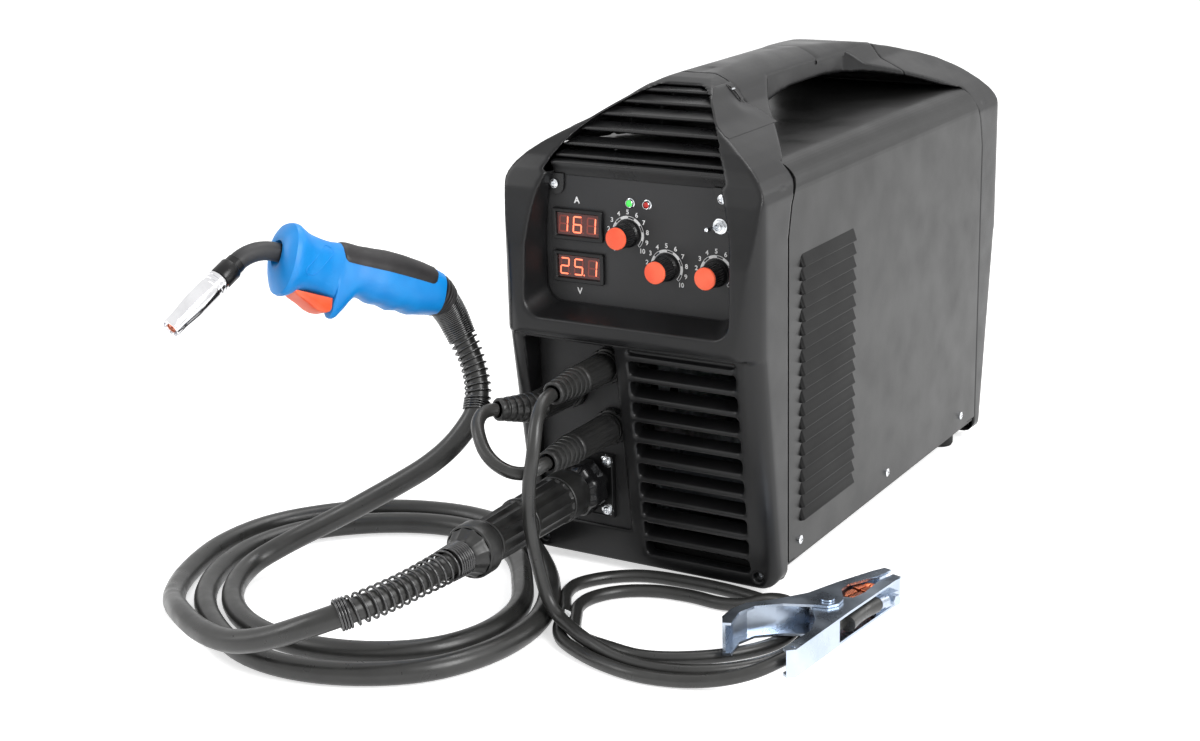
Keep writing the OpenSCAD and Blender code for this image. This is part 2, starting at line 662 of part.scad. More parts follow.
// front edge of the slat with index i, as y and z
function slat_y(i) = -seam - 37.3 + 10.6 * i + 0.75 * i * i;
function slat_z(i) = arch_top - 56.4 + 13.3 * i - 0.75 * i * i;
module top_grille() {
    color([0.05, 0.05, 0.055]) {
        difference() {
            intersection() {
                arch_cut(fit_gap);
                union() {
                    for (i = [0:top_slats - 1]) {
                        y = slat_y(i);
                        z = slat_z(i);
                        along_x(-half_w, half_w)
                            polygon([[y, z], [y + 1.6, z - 3], [y + 15, z + 4.6], [y + 13.6, z + 7.2]]);
                    }
                    // ribs that carry the slats
                    for (s = [-1, 1]) translate([s * 9, 0, 0]) along_x(-1, 1)
                        polygon(concat([for (i = [0:top_slats - 1]) [slat_y(i) + 9, slat_z(i) + 3]],
                            [for (i = [top_slats - 1:-1:0]) [slat_y(i) + 17, slat_z(i) - 4]],
                            [[slat_y(0) + 12, slat_z(0) - 10], [slat_y(0) + 2, slat_z(0) - 10]]));
                }
            }
            block([-20, panel_y - fit_gap, 320], [20, panel_y + 12, 337.3]);
        }
        // brow above the panel, with a tab at each end
        difference() {
            intersection() {
                union() {
                    along_x(-half_w, half_w) polygon([[-seam - 36, 334], [-seam - 38, 328],
                        [panel_y - 0.2, 328], [panel_y - 0.2, 334]]);
                    for (s = [-1, 1]) block([s * tab_x - 8, panel_y - 2.4, tab_z - 9],
                        [s * tab_x + 8, panel_y - 0.2, 330]);
                }
                along_y(-seam - 40, panel_y) bay_outline(-fit_gap, rim_z + 8.5, rim_half - 7.7);
            }
            for (s = [-1, 1]) bar_y([s * tab_x, tab_z], panel_y - 4, panel_y + 1, 1.7);
        }
    }
}
// display window frame with its body behind the panel
module meter(z) {
    w = meter_w / 2;
    h = meter_h / 2;
    difference() {
        union() {
            block([meter_x - w, panel_y - 3, z - h], [meter_x + w, panel_y, z + h]);
            block([meter_x - w + 1.3, panel_y, z - h + 1.3], [meter_x + w - 1.3, panel_y + 20, z + h - 1.3]);
        }
        block([meter_x - w + 3.5, panel_y - 4, z - h + 3.5], [meter_x + w - 3.5, panel_y - 1, z + h - 3.5]);
    }
}
module meters() {
    color([0.12, 0.02, 0.02]) for (z = meter_zs) meter(z);
}
// knob with a flared skirt, an orange cap and a marker groove
module knob(spot) {
    r = knob_d / 2;
    translate([spot[0], panel_y - 1.5, spot[1]]) rotate([90, 0, 0]) difference() {
        rotate_extrude() polygon([[0, 0], [r + 2.2, 0], [r + 2.2, 1.2], [r + 0.6, 4], [r + 0.6, knob_len - 3],
            [r, knob_len - 2.4], [r, knob_len - 1], [r - 1, knob_len], [0, knob_len]]);
        translate([0, 0, -1]) cylinder(r = pot_bush_r + 2.4, h = 5);
        cylinder(r = pot_r + run_gap, h = 15);
        for (a = [15:30:359]) rotate([0, 0, a]) translate([r, -0.9, 5]) cube([2, 1.8, knob_len]);
        rotate([0, 0, knob_zero]) translate([-0.5, r - 6, knob_len - 0.6]) cube([1, 8, 2]);
    }
}
module speed_knob() {
    color([0.95, 0.25, 0.12]) knob(knob_spots[0]);
}
module voltage_knob() {
    color([0.95, 0.25, 0.12]) knob(knob_spots[1]);
}
module current_knob() {
    color([0.95, 0.25, 0.12]) knob(knob_spots[2]);
}
module control_board() {
    y = panel_y + 12;
    color([0.05, 0.25, 0.12]) difference() {
        union() {
            block([-22, y, 245], [82, y + 1.6, 320]);
            for (p = knob_spots) {
                bar_y(p, panel_y + 3, y, 8);
                bar_y(p, panel_y - 4, panel_y + 3, pot_bush_r);
                bar_y(p, panel_y - 14, panel_y - 4, pot_r);
                // nut that clamps the pot to the panel
                translate([p[0], panel_y - 0.1, p[1]]) rotate([90, 0, 0]) cylinder(r = 6, h = 1.9, $fn = 6);
            }
            for (p = lamp_spots) {
                bar_y(p, panel_y - 1.2, y, lamp_r);
                translate([p[0], panel_y - 1.2, p[1]]) sphere(r = lamp_r);
            }
            for (i = [0:2]) bar_y([-10 + i * 18, 254], y + 1.6, y + 12, 4);
            block([40, y + 1.6, 285], [64, y + 4, 303]);
            block([0, y + 1.6, 300], [14, y + 3.5, 312]);
        }
        block([toggle_spot[0] - 9, y - 1, toggle_spot[1] - 12],
            [toggle_spot[0] + 9, y + 3, toggle_spot[1] + 12]);
    }
}
module toggle_base() {
    x = toggle_spot[0];
    z = toggle_spot[1];
    color([0.75, 0.76, 0.78]) difference() {
        union() {
            block([x - 6.5, panel_y + plate_t + 0.2, z - 4], [x + 6.5, panel_y + 14, z + 4]);
            bar_y(toggle_spot, panel_y - 5, panel_y + 3, 3.2);
            translate([x, panel_y - 0.1, z]) rotate([90, 0, 0]) cylinder(r = 5, h = 2, $fn = 6);
        }
        bar_y(toggle_spot, panel_y - 6, panel_y + 7, 2.5);
    }
    // pin that the lever rocks on
    color([0.75, 0.76, 0.78]) translate([x, panel_y + 2, z - 3]) cylinder(r = 0.7, h = 6);
}
module toggle_lever() {
    color([0.8, 0.81, 0.83]) translate([toggle_spot[0], panel_y + 2, toggle_spot[1]])
        rotate([0, 0, -toggle_tilt]) difference() {
            union() {
                sphere(r = 2.1);
                rotate([90, 0, 0]) cylinder(r = 1, h = 8);
                translate([0, -7.5, 0]) rotate([90, 0, 0]) cylinder(r1 = 1, r2 = 2.1, h = 10);
                translate([0, -17.5, 0]) sphere(r = 2.1);
            }
            translate([0, 0, -4]) cylinder(r = 0.7 + run_gap, h = 8);
        }
}
module weld_sockets() {
    color([0.06, 0.06, 0.06]) for (p = concat([earth_spot], jumper_spots)) difference() {
        union() {
            bar_y(p, plate_y - 4, plate_y, socket_r);
            bar_y(p, plate_y, plate_y + 22, 11);
            bar_y(p, plate_y + 22, plate_y + 30, 5);
        }
        bar_y(p, plate_y - 5, plate_y + 16, nose_r + run_gap);
        bar_y(p, plate_y - 5, plate_y - 1, plug_r + 0.5);
    }
}
module gun_socket() {
    w = gun_plate[0] / 2;
    h = gun_plate[1] / 2;
    p = [gun_x, gun_z];
    color([0.06, 0.06, 0.06]) difference() {
        union() {
            block([gun_x - w, plate_y - 4, gun_z - h], [gun_x + w, plate_y, gun_z + h]);
            bar_y(p, plate_y, plate_y + 24, 18);
            bar_y(p, plate_y + 24, plate_y + 38, 8);
            bar_y(p, plate_y + 38, roll_y - roll_r - 6, 3);
        }
        bar_y(p, plate_y - 5, plate_y + 22, 10 + run_gap);
        bar_y(p, plate_y - 5, plate_y + 80, 1.2);
        for (q = gun_screw_spots) bar_y(q, plate_y - 5, plate_y + 1, 1.7);
    }
}
// cable plug: nose, ribbed body and a boot that turns aside by side and up by lift
module plug(body, boot, side, lift) {
    r = plug_r;
    rotate([90, 0, 0]) {
        translate([0, 0, -15.5]) cylinder(r = nose_r, h = 18);
        rotate_extrude() polygon([[0, 1.3], [r - 0.6, 1.3], [r - 0.6, 4], [r, 4.6], [r, 10], [r - 0.8, 10.6],
            [r - 0.8, 13], [r, 14], [r - 0.3, body - 2], [r - 1.2, body + 1], [0, body + 1]]);
        translate([0, 0, body]) rotate([-lift, -side, 0]) {
            sphere(r = r - 1.2);
            rotate_extrude() polygon([[0, 0], [r - 1.6, 0], [r - 2.6, 12], [r - 3.4, 22],
                [r - 4.4, boot], [0, boot]]);
            for (i = [0:2]) translate([0, 0, 12 + i * 6.5]) cylinder(r = r - 1.4 - i * 0.8, h = 3.4);
        }
    }
}
module earth_plug() {
    color([0.04, 0.04, 0.04]) translate([earth_spot[0], plate_y, earth_spot[1]]) plug(52, 36, 0, 0);
}
module jumper_plugs() {
    color([0.04, 0.04, 0.04]) {
        translate([jumper_spots[0][0], plate_y, jumper_spots[0][1]]) plug(56, 36, 24, 9);
        translate([jumper_spots[1][0], plate_y, jumper_spots[1][1]]) plug(66, 36, 0, 0);
    }
}
module jumper_lead() {
    color([0.05, 0.05, 0.05]) tube(jumper_route, lead_d / 2, 10, [0.3, 0.6, 0.74]);
}

module rear_panel() {
    y0 = rear_y - 1.5;
    y1 = rear_y;
    s = switch_spot;
    color([0.09, 0.09, 0.095]) difference() {
        along_y(y0, y1) union() {
            bay_outline(3, rim_z + 8.5, rim_half - 7.7);
            translate([-101, shelf_z - 3]) square([202, rim_z + 14 - shelf_z]);
        }
        // guard of the fan, punched as slots inside a circle
        along_y(y0 - 1, y1 + 1) intersection() {
            translate([fan_x, fan_z]) circle(r = 41);
            for (i = [-4:4]) translate([fan_x - 42, fan_z - 2.5 + i * 8.6]) square([84, 5]);
        }
        block([s[0] - 14, y0 - 1, s[1] - 10], [s[0] + 14, y1 + 1, s[1] + 10]);
        bar_y(gland_spot, y0 - 1, y1 + 1, 8.3);
        bar_y(gas_spot, y0 - 1, y1 + 1, 8.3);
        for (k = [-1, 1]) bar_y([k * 74, 318], y0 - 1, y1 + 1, 1.7);
    }
}
module fan_frame() {
    y1 = rear_y - 1.5;
    y0 = y1 - 25;
    w = fan_w / 2;
    c = [fan_x, fan_z];
    color([0.03, 0.03, 0.03]) {
        difference() {
            block([fan_x - w, y0, fan_z - w], [fan_x + w, y1, fan_z + w]);
            bar_y(c, y0 - 1, y1 + 1, w - 3);
            for (s = [-1, 1]) for (t = [-1, 1])
                bar_y([fan_x + s * (w - 5), fan_z + t * (w - 5)], y0 - 1, y1 + 1, 2.2);
        }
        // spider that holds the hub pin
        for (a = [0, 90]) translate([fan_x, y0 + 1.5, fan_z]) rotate([0, a + 45, 0])
            cube([2 * w - 4, 3, 5], center = true);
        bar_y(c, y0, y0 + 4, 17);
        bar_y(c, y0 + 3, y1 - 4, fan_pin_r);
    }
}
module fan_rotor() {
    y1 = rear_y - 1.5;
    color([0.02, 0.02, 0.02]) translate([fan_x, y1 - 20.5, fan_z]) rotate([-90, 0, 0]) difference() {
        union() {
            cylinder(r = 17, h = 18);
            for (i = [0:6]) rotate([0, 0, i * 360 / 7]) translate([14, 0, 9]) rotate([38, 0, 0])
                translate([0, -1, -10]) cube([fan_w / 2 - 4.8 - 14, 2, 20]);
        }
        translate([0, 0, -1]) cylinder(r = fan_pin_r + run_gap, h = 20);
    }
}
module switch_housing() {
    s = switch_spot;
    y = rear_y;
    color([0.03, 0.03, 0.03]) difference() {
        union() {
            block([s[0] - 16, y, s[1] - 12], [s[0] + 16, y + 2, s[1] + 12]);
            block([s[0] - 13.7, y - 18, s[1] - 9.7], [s[0] + 13.7, y + 1, s[1] + 9.7]);
            for (k = [-8, 8]) block([s[0] + k - 3, y - 26, s[1] - 1], [s[0] + k + 3, y - 17, s[1] + 1]);
        }
        block([s[0] - 11, y - 14, s[1] - 8], [s[0] + 11, y + 3, s[1] + 8]);
        bar_x(s[0] - 12.6, s[0] + 12.6, y - 3, s[1], 1.5 + run_gap);
    }
}
module power_rocker() {
    s = switch_spot;
    color([0.05, 0.05, 0.05]) translate([s[0], rear_y - 3, s[1]]) rotate([-8, 0, 0]) {
        along_x(-10.6, 10.6) polygon([[-6, -3], [-6, 3], [0, 7], [4.6, 6.8], [2.6, 0], [4.6, -6.8], [0, -7]]);
        rotate([0, 90, 0]) translate([0, 0, -12.4]) cylinder(r = 1.5, h = 24.8);
    }
}
// bush for the mains lead
module mains_gland() {
    p = gland_spot;
    color([0.04, 0.04, 0.04]) difference() {
        union() {
            bar_y(p, rear_y - 14, rear_y, 8);
            translate([p[0], rear_y - 1.8, p[1]]) rotate([90, 0, 0]) cylinder(r = 13, h = 5, $fn = 6);
            translate([p[0], rear_y + 5.2, p[1]]) rotate([90, 0, 0]) cylinder(r = 13, h = 5.2, $fn = 6);
            translate([p[0], rear_y + 5, p[1]]) rotate([-90, 0, 0]) rotate_extrude()
                polygon([[0, 0], [11, 0], [11, 9], [9.6, 13], [7.6, 15], [0, 15]]);
        }
        bar_y(p, rear_y - 20, rear_y + 21, 5.4);
    }
}
module gas_inlet() {
    p = gas_spot;
    color([0.78, 0.6, 0.25]) difference() {
        union() {
            bar_y(p, rear_y - 22, rear_y, 8);
            translate([p[0], rear_y - 1.8, p[1]]) rotate([90, 0, 0]) cylinder(r = 11, h = 4, $fn = 6);
            translate([p[0], rear_y + 5, p[1]]) rotate([90, 0, 0]) cylinder(r = 11, h = 5, $fn = 6);
            bar_y(p, rear_y + 5, rear_y + 17, gas_r);
        }
        bar_y(p, rear_y - 24, rear_y + 18, 3);
    }
}

module transformer() {
    color([0.6, 0.35, 0.18]) {
        block([30, -115, floor_z + fit_gap], [82, -65, floor_z + 8]);
        difference() {
            block([24, -106, floor_z + 8], [88, -74, 88]);
            for (x = [36, 64]) block([x, -107, 44], [x + 12, -73, 76]);
        }
        block([38, -114, 46], [74, -66, 74]);
    }
}
module inverter_board() {
    z = 62;
    color([0.1, 0.3, 0.16]) {
        block([4, -60, z], [104, 150, z + 1.8]);
        for (x = [12, 96]) for (y = [-50, 140]) translate([x, y, floor_z + fit_gap])
            cylinder(r = 3.5, h = z - floor_z - fit_gap + 0.5);
        for (y = [-30, 10, 50]) translate([84, y, z + 1]) cylinder(r = 15, h = 46);
        // two finned heat sinks
        for (y = [-50, 50]) {
            block([10, y, z + 1.8], [58, y + 84, z + 8]);
            for (i = [0:5]) block([10 + i * 9.2, y, z + 7], [12 + i * 9.2, y + 84, z + 50]);
        }
        block([66, 84, z + 1], [100, 140, z + 34]);
    }
}

module spool_shaft() {
    c = [spool_y, spool_z];
    color([0.7, 0.7, 0.7]) difference() {
        union() {
            bar_x(divider_x - 4, divider_x, c[0], c[1], 34);
            bar_x(spool_x1, divider_x, c[0], c[1], hub_r);
            bar_x(spool_x1 - 15, spool_x1 + 1, c[0], c[1], stub_r);
        }
        bar_x(spool_x1 - 18, divider_x + 1, c[0], c[1], 4);
    }
}
module wire_spool() {
    c = [spool_y, spool_z];
    color([0.72, 0.5, 0.3]) difference() {
        union() {
            bar_x(spool_x0 - spool_wall, spool_x0, c[0], c[1], spool_r);
            bar_x(spool_x1, spool_x1 + spool_wall, c[0], c[1], spool_r);
            bar_x(spool_x1, spool_x0, c[0], c[1], wound_r);
        }
        bar_x(spool_x1 - 1, spool_x0 + 1, c[0], c[1], hub_r + run_gap);
        for (a = [0:60:359])
            bar_x(spool_x1 - 1, spool_x0 + 1, c[0] + 81 * cos(a), c[1] + 81 * sin(a), 12);
    }
}
module spool_cap() {
    c = [spool_y, spool_z];
    x = spool_x1 - fit_gap;
    color([0.04, 0.04, 0.04]) difference() {
        union() {
            bar_x(x - 8, x - 0.5, c[0], c[1], hub_r + 5);
            for (a = [0, 120, 240]) bar_x(x - 14, x - 0.5, c[0] + 20 * cos(a), c[1] + 20 * sin(a), 9);
            bar_x(x - 14, x - 8, c[0], c[1], 16);
        }
        bar_x(x - 16, x + 1, c[0], c[1], stub_r + run_gap);
    }
}
module feeder_frame() {
    x0 = divider_x - 4.3;
    x1 = divider_x - 0.3;
    tube_x = gun_x;
    color([0.5, 0.51, 0.53]) difference() {
        union() {
            block([x0, -194, 34], [x1, -106, 128]);
            bar_x(tube_x - 12, x1, arm_pin_y, arm_pin_z, arm_pin_r);
            bar_x(x0 - 12, x1, arm_pin_y, arm_pin_z, 6);
            // inlet guide on its bracket
            block([tube_x - 5, -116, gun_z - 5], [x1, -108, gun_z + 5]);
            bar_y([tube_x, gun_z], -128, -100, 3.5);
            // hook that the tension screw pulls on
            block([x0 - 22, -128, 62], [x0 + 1, -116, 68]);
        }
        bar_y([tube_x, gun_z], -130, -98, 1.2);
        bar_x(x0 - 1, x1 + 1, roll_y, roll_z, 20.3);
    }
}
module feed_motor() {
    color([0.25, 0.26, 0.28]) difference() {
        union() {
            bar_x(divider_x + 3, 70, roll_y, roll_z, 28);
            bar_x(70, 76, roll_y, roll_z, 12);
            bar_x(-40, divider_x + 4, roll_y, roll_z, 20);
            bar_x(-44, -39, roll_y, roll_z, 10);
        }
        bar_x(-45, -26, roll_y, roll_z, axle_r + run_gap);
    }
}
module drive_roll() {
    color([0.75, 0.75, 0.77]) difference() {
        union() {
            bar_x(roll_x1, roll_x0, roll_y, roll_z, roll_r);
            bar_x(roll_x0 - 1, -28, roll_y, roll_z, axle_r);
            bar_x(roll_x1 - 4, roll_x1 + 1, roll_y, roll_z, 7);
        }
        // wire groove
        translate([gun_x, roll_y, roll_z]) rotate([0, 90, 0]) rotate_extrude()
            polygon([[roll_r + 1, -1.5], [roll_r - 0.6, 0], [roll_r + 1, 1.5]]);
    }
}
module pressure_arm() {
    x0 = -38.5;
    x1 = -32.5;
    color([0.12, 0.12, 0.13]) difference() {
        union() {
            along_x(x0, x1) polygon([[arm_pin_y - 8, arm_pin_z - 5], [arm_pin_y - 5, arm_pin_z + 9],
                [roll_y - 10, idler_z + 16], [roll_y + 6, idler_z + 15], [roll_y + 13, idler_z + 12],
                [-116, idler_z + 12],
                [-116, idler_z + 4], [roll_y + 12, idler_z - 2], [roll_y - 8, idler_z - 4],
                [arm_pin_y + 9, arm_pin_z - 6]]);
            bar_x(tube_span, x1, arm_pin_y, arm_pin_z, 7);
            bar_x(roll_x1 - 3, x0 + 1, roll_y, idler_z, idler_pin_r);
            // seat and stud of the tension knob
            block([x0 - 8, -130, idler_z + 4], [x1, -116, idler_z + 12]);
            translate([x0 - 2, -123, idler_z + 11]) cylinder(r = 2.5, h = 19);
        }
        bar_x(tube_span - 1, x1 + 1, arm_pin_y, arm_pin_z, arm_pin_r + run_gap);
    }
}
module pressure_roll() {
    color([0.75, 0.75, 0.77]) difference() {
        bar_x(roll_x1, roll_x0 + 2, roll_y, idler_z, idler_r);
        bar_x(roll_x1 - 1, roll_x0 + 3, roll_y, idler_z, idler_pin_r + run_gap);
    }
}
module tension_knob() {
    color([0.03, 0.03, 0.03]) translate([-40.5, -123, idler_z + 12 + fit_gap]) difference() {
        union() {
            cylinder(r = 6, h = 6);
            translate([0, 0, 5]) cylinder(r = 8, h = 19);
            for (a = [0:60:359]) rotate([0, 0, a]) translate([6, -1.2, 7]) cube([3, 2.4, 15]);
        }
        translate([0, 0, -1]) cylinder(r = 2.5 + run_gap, h = 21);
    }
}

module earth_cable() {
    color([0.05, 0.05, 0.05]) {
        tube(earth_drop, lead_d / 2, 10, [1, 0.2, 0]);
        tube(earth_tail, lead_d / 2, 10, [0, 0, 1]);
    }
}
module earth_coil() {
    color([0.05, 0.05, 0.05]) difference() {
        linear_extrude(lead_d + 0.5) hull() {
            translate([12, -290]) circle(45);
            translate([94, -318]) circle(77);
            translate([62, -345]) circle(57);
        }
        translate([0, 0, -1]) linear_extrude(lead_d + 3) hull() {
            translate([42, -308]) circle(28);
            translate([92, -322]) circle(38);
        }
    }
}
module cable_tie() {
    r = lead_d / 2;
    color([0.9, 0.9, 0.9]) translate([-5.3, -354.5, 8]) rotate([0, 117, 33]) difference() {
        union() {
            cylinder(r = r + 1.6, h = 3.6, center = true);
            translate([-r - 1.8, 0, 0]) cube([3.4, 5, 5], center = true);
        }
        cylinder(r = r + fit_gap, h = 6, center = true);
    }
}
module gun_coil() {
    color([0.05, 0.05, 0.05]) difference() {
        union() {
            linear_extrude(2 * gun_d + 1) hull() {
                translate([-200, -362]) circle(155);
                translate([-165, -404]) circle(142);
            }
            linear_extrude(gun_d + 1) hull() {
                translate([-165, -404]) circle(142);
                translate([-97, -370]) circle(79);
            }
        }
        translate([-168, -361, -1]) cylinder(r = 112, h = 40);
    }
}
module gun_cable() {
    color([0.05, 0.05, 0.05]) {
        tube(gun_run_a, gun_d / 2, 12, [0, 0, 1]);
        tube(gun_run_b, gun_d / 2, 12, [0.5, -0.8, 0]);
    }
}
// outer shape of the bend-relief springs at both ends of the lead
module gun_springs() {
    color([0.04, 0.04, 0.04]) {
        tube(gun_spring_a, gun_d / 2 + 4, 12, [0, 0, 1]);
        tube(gun_spring_b, gun_d / 2 + 4, 12, [0.7, -0.7, 0]);
    }
}
module gun_plug() {
    color([0.04, 0.04, 0.04]) difference() {
        translate([gun_x, plate_y, gun_z]) rotate([90, 0, 0]) {
            translate([0, 0, -18]) cylinder(r = 10, h = 24);
            translate([0, 0, 4.3]) cylinder(r = 15, h = 30);
            rotate_extrude() polygon([[0, 32], [19, 32], [20, 36], [20, 62], [18.6, 66], [18.6, 110],
                [19.5, 116], [17.5, 120], [17.5, 150], [16.5, 160], [0, 160]]);
            rotate_extrude() polygon([[0, 158], [20, 158], [21.5, 164], [21.5, 174], [18, 180],
                [14, 185], [0, 185]]);
            // grip ribs
            for (a = [0:30:359]) rotate([0, 0, a]) translate([17, -2.4, 68]) cube([3, 4.8, 40]);
        }
        bar_y([gun_x, gun_z], plate_y - 1, plate_y + 20, 1.6);
    }
}
module gun_nut() {
    n = 8;
    y = plate_y - 4 - fit_gap;
    color([0.03, 0.03, 0.03]) translate([gun_x, y, gun_z]) rotate([90, 0, 0]) difference() {
        union() {
            cylinder(r = nut_r - 2.5, h = 26);
            for (k = [0:n - 1]) rotate([0, 0, k * 360 / n + 22.5]) translate([nut_r - 7, 0, 3])
                cylinder(r = 7, h = 20);
        }
        translate([0, 0, -1]) cylinder(r = 15 + run_gap, h = 30);
    }
}

module clamp_place() {
    translate(clamp_at) rotate([0, 0, clamp_turn]) children();
}
// outline of an arm seen along the pin, jaw towards +X
module arm_shape() {
    polygon([[77, 1.2], [77, 8], [66, 11], [30, 16.5], [0, 19], [-26, 29], [-46, 40], [-62, 40.5],
        [-76, 36], [-84, 28], [-80, 23], [-62, 32], [-46, 31.5], [-28, 19], [-13, 0], [-9, -8],
        [0, -11], [9, -8], [22, 5], [34, 7.5], [60, 1.2]]);
}
module arm_web() {
    polygon([[77, 6], [77, 8], [66, 11], [30, 16.5], [0, 19], [-26, 29], [-46, 40], [-62, 40.5],
        [-76, 36], [-84, 28], [-82.5, 26.6], [-75, 34], [-62, 38.4], [-47, 38], [-27, 27.2],
        [-0.6, 17], [29.7, 14.5], [65.5, 9]]);
}
module clamp_moving_arm() {
    t = arm_t;
    color([0.75, 0.77, 0.8]) clamp_place() difference() {
        union() {
            linear_extrude(t) arm_shape();
            translate([0, 0, arm_h - t]) linear_extrude(t) arm_shape();
            linear_extrude(arm_h) arm_web();
            // copper pad of the jaw
            block([44, 0.5, t + 4], [72, 4, arm_h - t - 4]);
            block([50, 3, t + 4], [66, 12, arm_h - t - 4]);
        }
        translate([0, 0, -1]) cylinder(r = clamp_pin + run_gap, h = arm_h + 2);
    }
}
module clamp_fixed_arm() {
    t = arm_t;
    z0 = t + fit_gap;
    z1 = arm_h - t - fit_gap;
    color([0.75, 0.77, 0.8]) clamp_place() {
        difference() {
            union() {
                for (z = [z0, z1 - t]) translate([0, 0, z]) linear_extrude(t) polygon([[76, -1.2], [76, -9],
                    [0, -22.5], [-78, -38], [-84, -34], [-82, -29], [-46, -24], [-28, -13], [-12, 5],
                    [0, 11], [10, 8], [20, -8], [34, -8], [60, -1.2]]);
                translate([0, 0, z0]) linear_extrude(z1 - z0)
                    polygon([[-16, -25.7], [-78, -38], [-84, -34], [-82.6, -32.6], [-77.6, -36],
                        [-15.6, -23.7]]);
                block([44, -10.5, z0], [73, -8.6, z1]);
            }
            translate([-76, -33.5, z0 - 1]) cylinder(r = 2, h = arm_h);
        }
        // rivet
        translate([0, 0, -1]) cylinder(r = clamp_pin, h = arm_h + 2);
        translate([0, 0, -1.6]) cylinder(r = 5.5, h = 1.3);
        translate([0, 0, arm_h + fit_gap]) cylinder(r = 5.5, h = 1.3);
        // crimped lug of the lead and its bolt at the jaw
        translate([43.3, -13, arm_h / 2]) rotate([0, 90, 0]) cylinder(r = 5, h = 9);
        block([49, -16, arm_h / 2 - 5], [64, -10, arm_h / 2 + 5]);
        translate([58, -16, arm_h / 2]) rotate([90, 0, 0]) cylinder(r = 4.4, h = 4, $fn = 6);
    }
}
module clamp_spring() {
    color([0.6, 0.6, 0.62]) clamp_place() translate([0, 0, arm_h / 2 - 7]) difference() {
        cylinder(r = 6.5, h = 14);
        translate([0, 0, -1]) cylinder(r = clamp_pin + 0.6, h = 16);
    }
}
module clamp_contacts() {
    color([0.8, 0.42, 0.28]) clamp_place() {
        block([44, -4, arm_t + 6], [72, -0.3, arm_h - arm_t - 6]);
        block([48, -7.5, arm_t + 6], [68, -3, arm_h - arm_t - 6]);
    }
}

module torch_place() {
    translate(torch_at) rotate(torch_turn) children();
}
// slab of a side profile of the torch, half wide to each side
module torch_slab(half) {
    rotate([90, 0, 0]) translate([0, 0, -half]) linear_extrude(2 * half) children();
}
module handle_profile() {
    polygon([[0, 17], [10, 19], [30, 22], [60, 23], [84, 20.5], [100, 20.5], [114, 19], [126, 23],
        [136, 29], [143, 28], [149, 18], [152, 6], [151, -8], [146, -22], [138, -34], [132, -36],
        [104, -42], [100, -45], [96, -44], [85, -21], [72, -18], [58, -21], [40, -22], [20, -20], [0, -17]]);
}
module grip_profile() {
    polygon([[9, 8], [7, 14], [10, 24], [92, 26], [86, 14], [80, 9], [50, 10], [20, 6]]);
}
module gun_handle() {
    color([0.05, 0.55, 0.9]) torch_place() {
        difference() {
            intersection() {
                torch_slab(19) handle_profile();
                // plan of the handle
                translate([0, 0, -60]) linear_extrude(120) polygon([[0, -16], [12, -17.5], [60, -18],
                    [88, -16], [110, -15], [128, -19], [142, -19], [152, -12], [152, 12], [142, 19],
                    [128, 19], [110, 15], [88, 16], [60, 18], [12, 17.5], [0, 16]]);
            }
            torch_slab(20) grip_profile();
            // slot of the trigger
            block([101.5, -6.2, -50], [140, 6.2, -22]);
            rotate([0, 90, 0]) translate([0, 0, 118]) cylinder(r = neck_r, h = 40);
        }
        translate([trigger_x, 0, trigger_z]) torch_slab(8) circle(trigger_pin);
    }
}
module gun_grip() {
    color([0.05, 0.05, 0.05]) torch_place() {
        intersection() {
            torch_slab(18) intersection() {
                grip_profile();
                offset(delta = 0.6) handle_profile();
            }
            translate([0, 0, -60]) linear_extrude(120) polygon([[0, -17], [12, -18.2], [60, -18.6],
                [92, -16.5], [92, 16.5], [60, 18.6], [12, 18.2], [0, 17]]);
        }
        // ribbed joint behind the handle
        rotate([0, -90, 0]) for (i = [0:3]) translate([0, 0, i * 3.6]) {
            cylinder(r = 18 - i, h = 2.6);
            cylinder(r = 15.4 - i, h = 3.6);
        }
        translate([-17, 0, 0]) sphere(r = 12);
    }
}
module gun_trigger() {
    color([0.95, 0.3, 0.12]) torch_place() difference() {
        torch_slab(5.8) polygon([[103, -27], [134, -26.5], [135, -31], [129, -34.5], [114, -41], [105, -44],
            [102.5, -41]]);
        translate([trigger_x, 0, trigger_z]) torch_slab(8) circle(trigger_pin + run_gap);
    }
}
module at_neck_end() {
    translate([neck_end[0], 0, neck_end[1]]) rotate([0, 90 - neck_tilt + neck_bend, 0]) children();
}
module gun_neck() {
    color([0.1, 0.1, 0.1]) torch_place() {
        rotate([0, 90, 0]) translate([0, 0, 118 + fit_gap]) cylinder(r = neck_r - 0.3, h = torch_len - 117);
        translate([neck_center[0], 0, neck_center[1]]) rotate([90, 0, 0])
            rotate([0, 0, 90 + neck_tilt - neck_bend]) rotate_extrude(angle = neck_bend)
                translate([neck_curve, 0]) circle(neck_r);
        at_neck_end() {
            translate([0, 0, -0.6]) cylinder(r = neck_r - 0.1, h = 8);
            translate([0, 0, 6]) cylinder(r = 9.2, h = 13);
            cylinder(r = 5, h = 34);
            translate([0, 0, 34]) cylinder(r = 3.2, h = 26);
        }
    }
}
module gas_nozzle() {
    r = nozzle_r;
    l = nozzle_len;
    color([0.75, 0.75, 0.77]) torch_place() at_neck_end() translate([0, 0, 19.3]) rotate_extrude()
        polygon([[5.3, 0], [r - 0.6, 0], [r, 0.8], [r, 3], [r - 0.7, 4], [r - 0.7, 10], [r, 11], [r, 26],
            [r - 1.8, l - 8], [r - 1.9, l], [r - 3, l], [r - 3.2, 18], [5.3, 14]]);
}

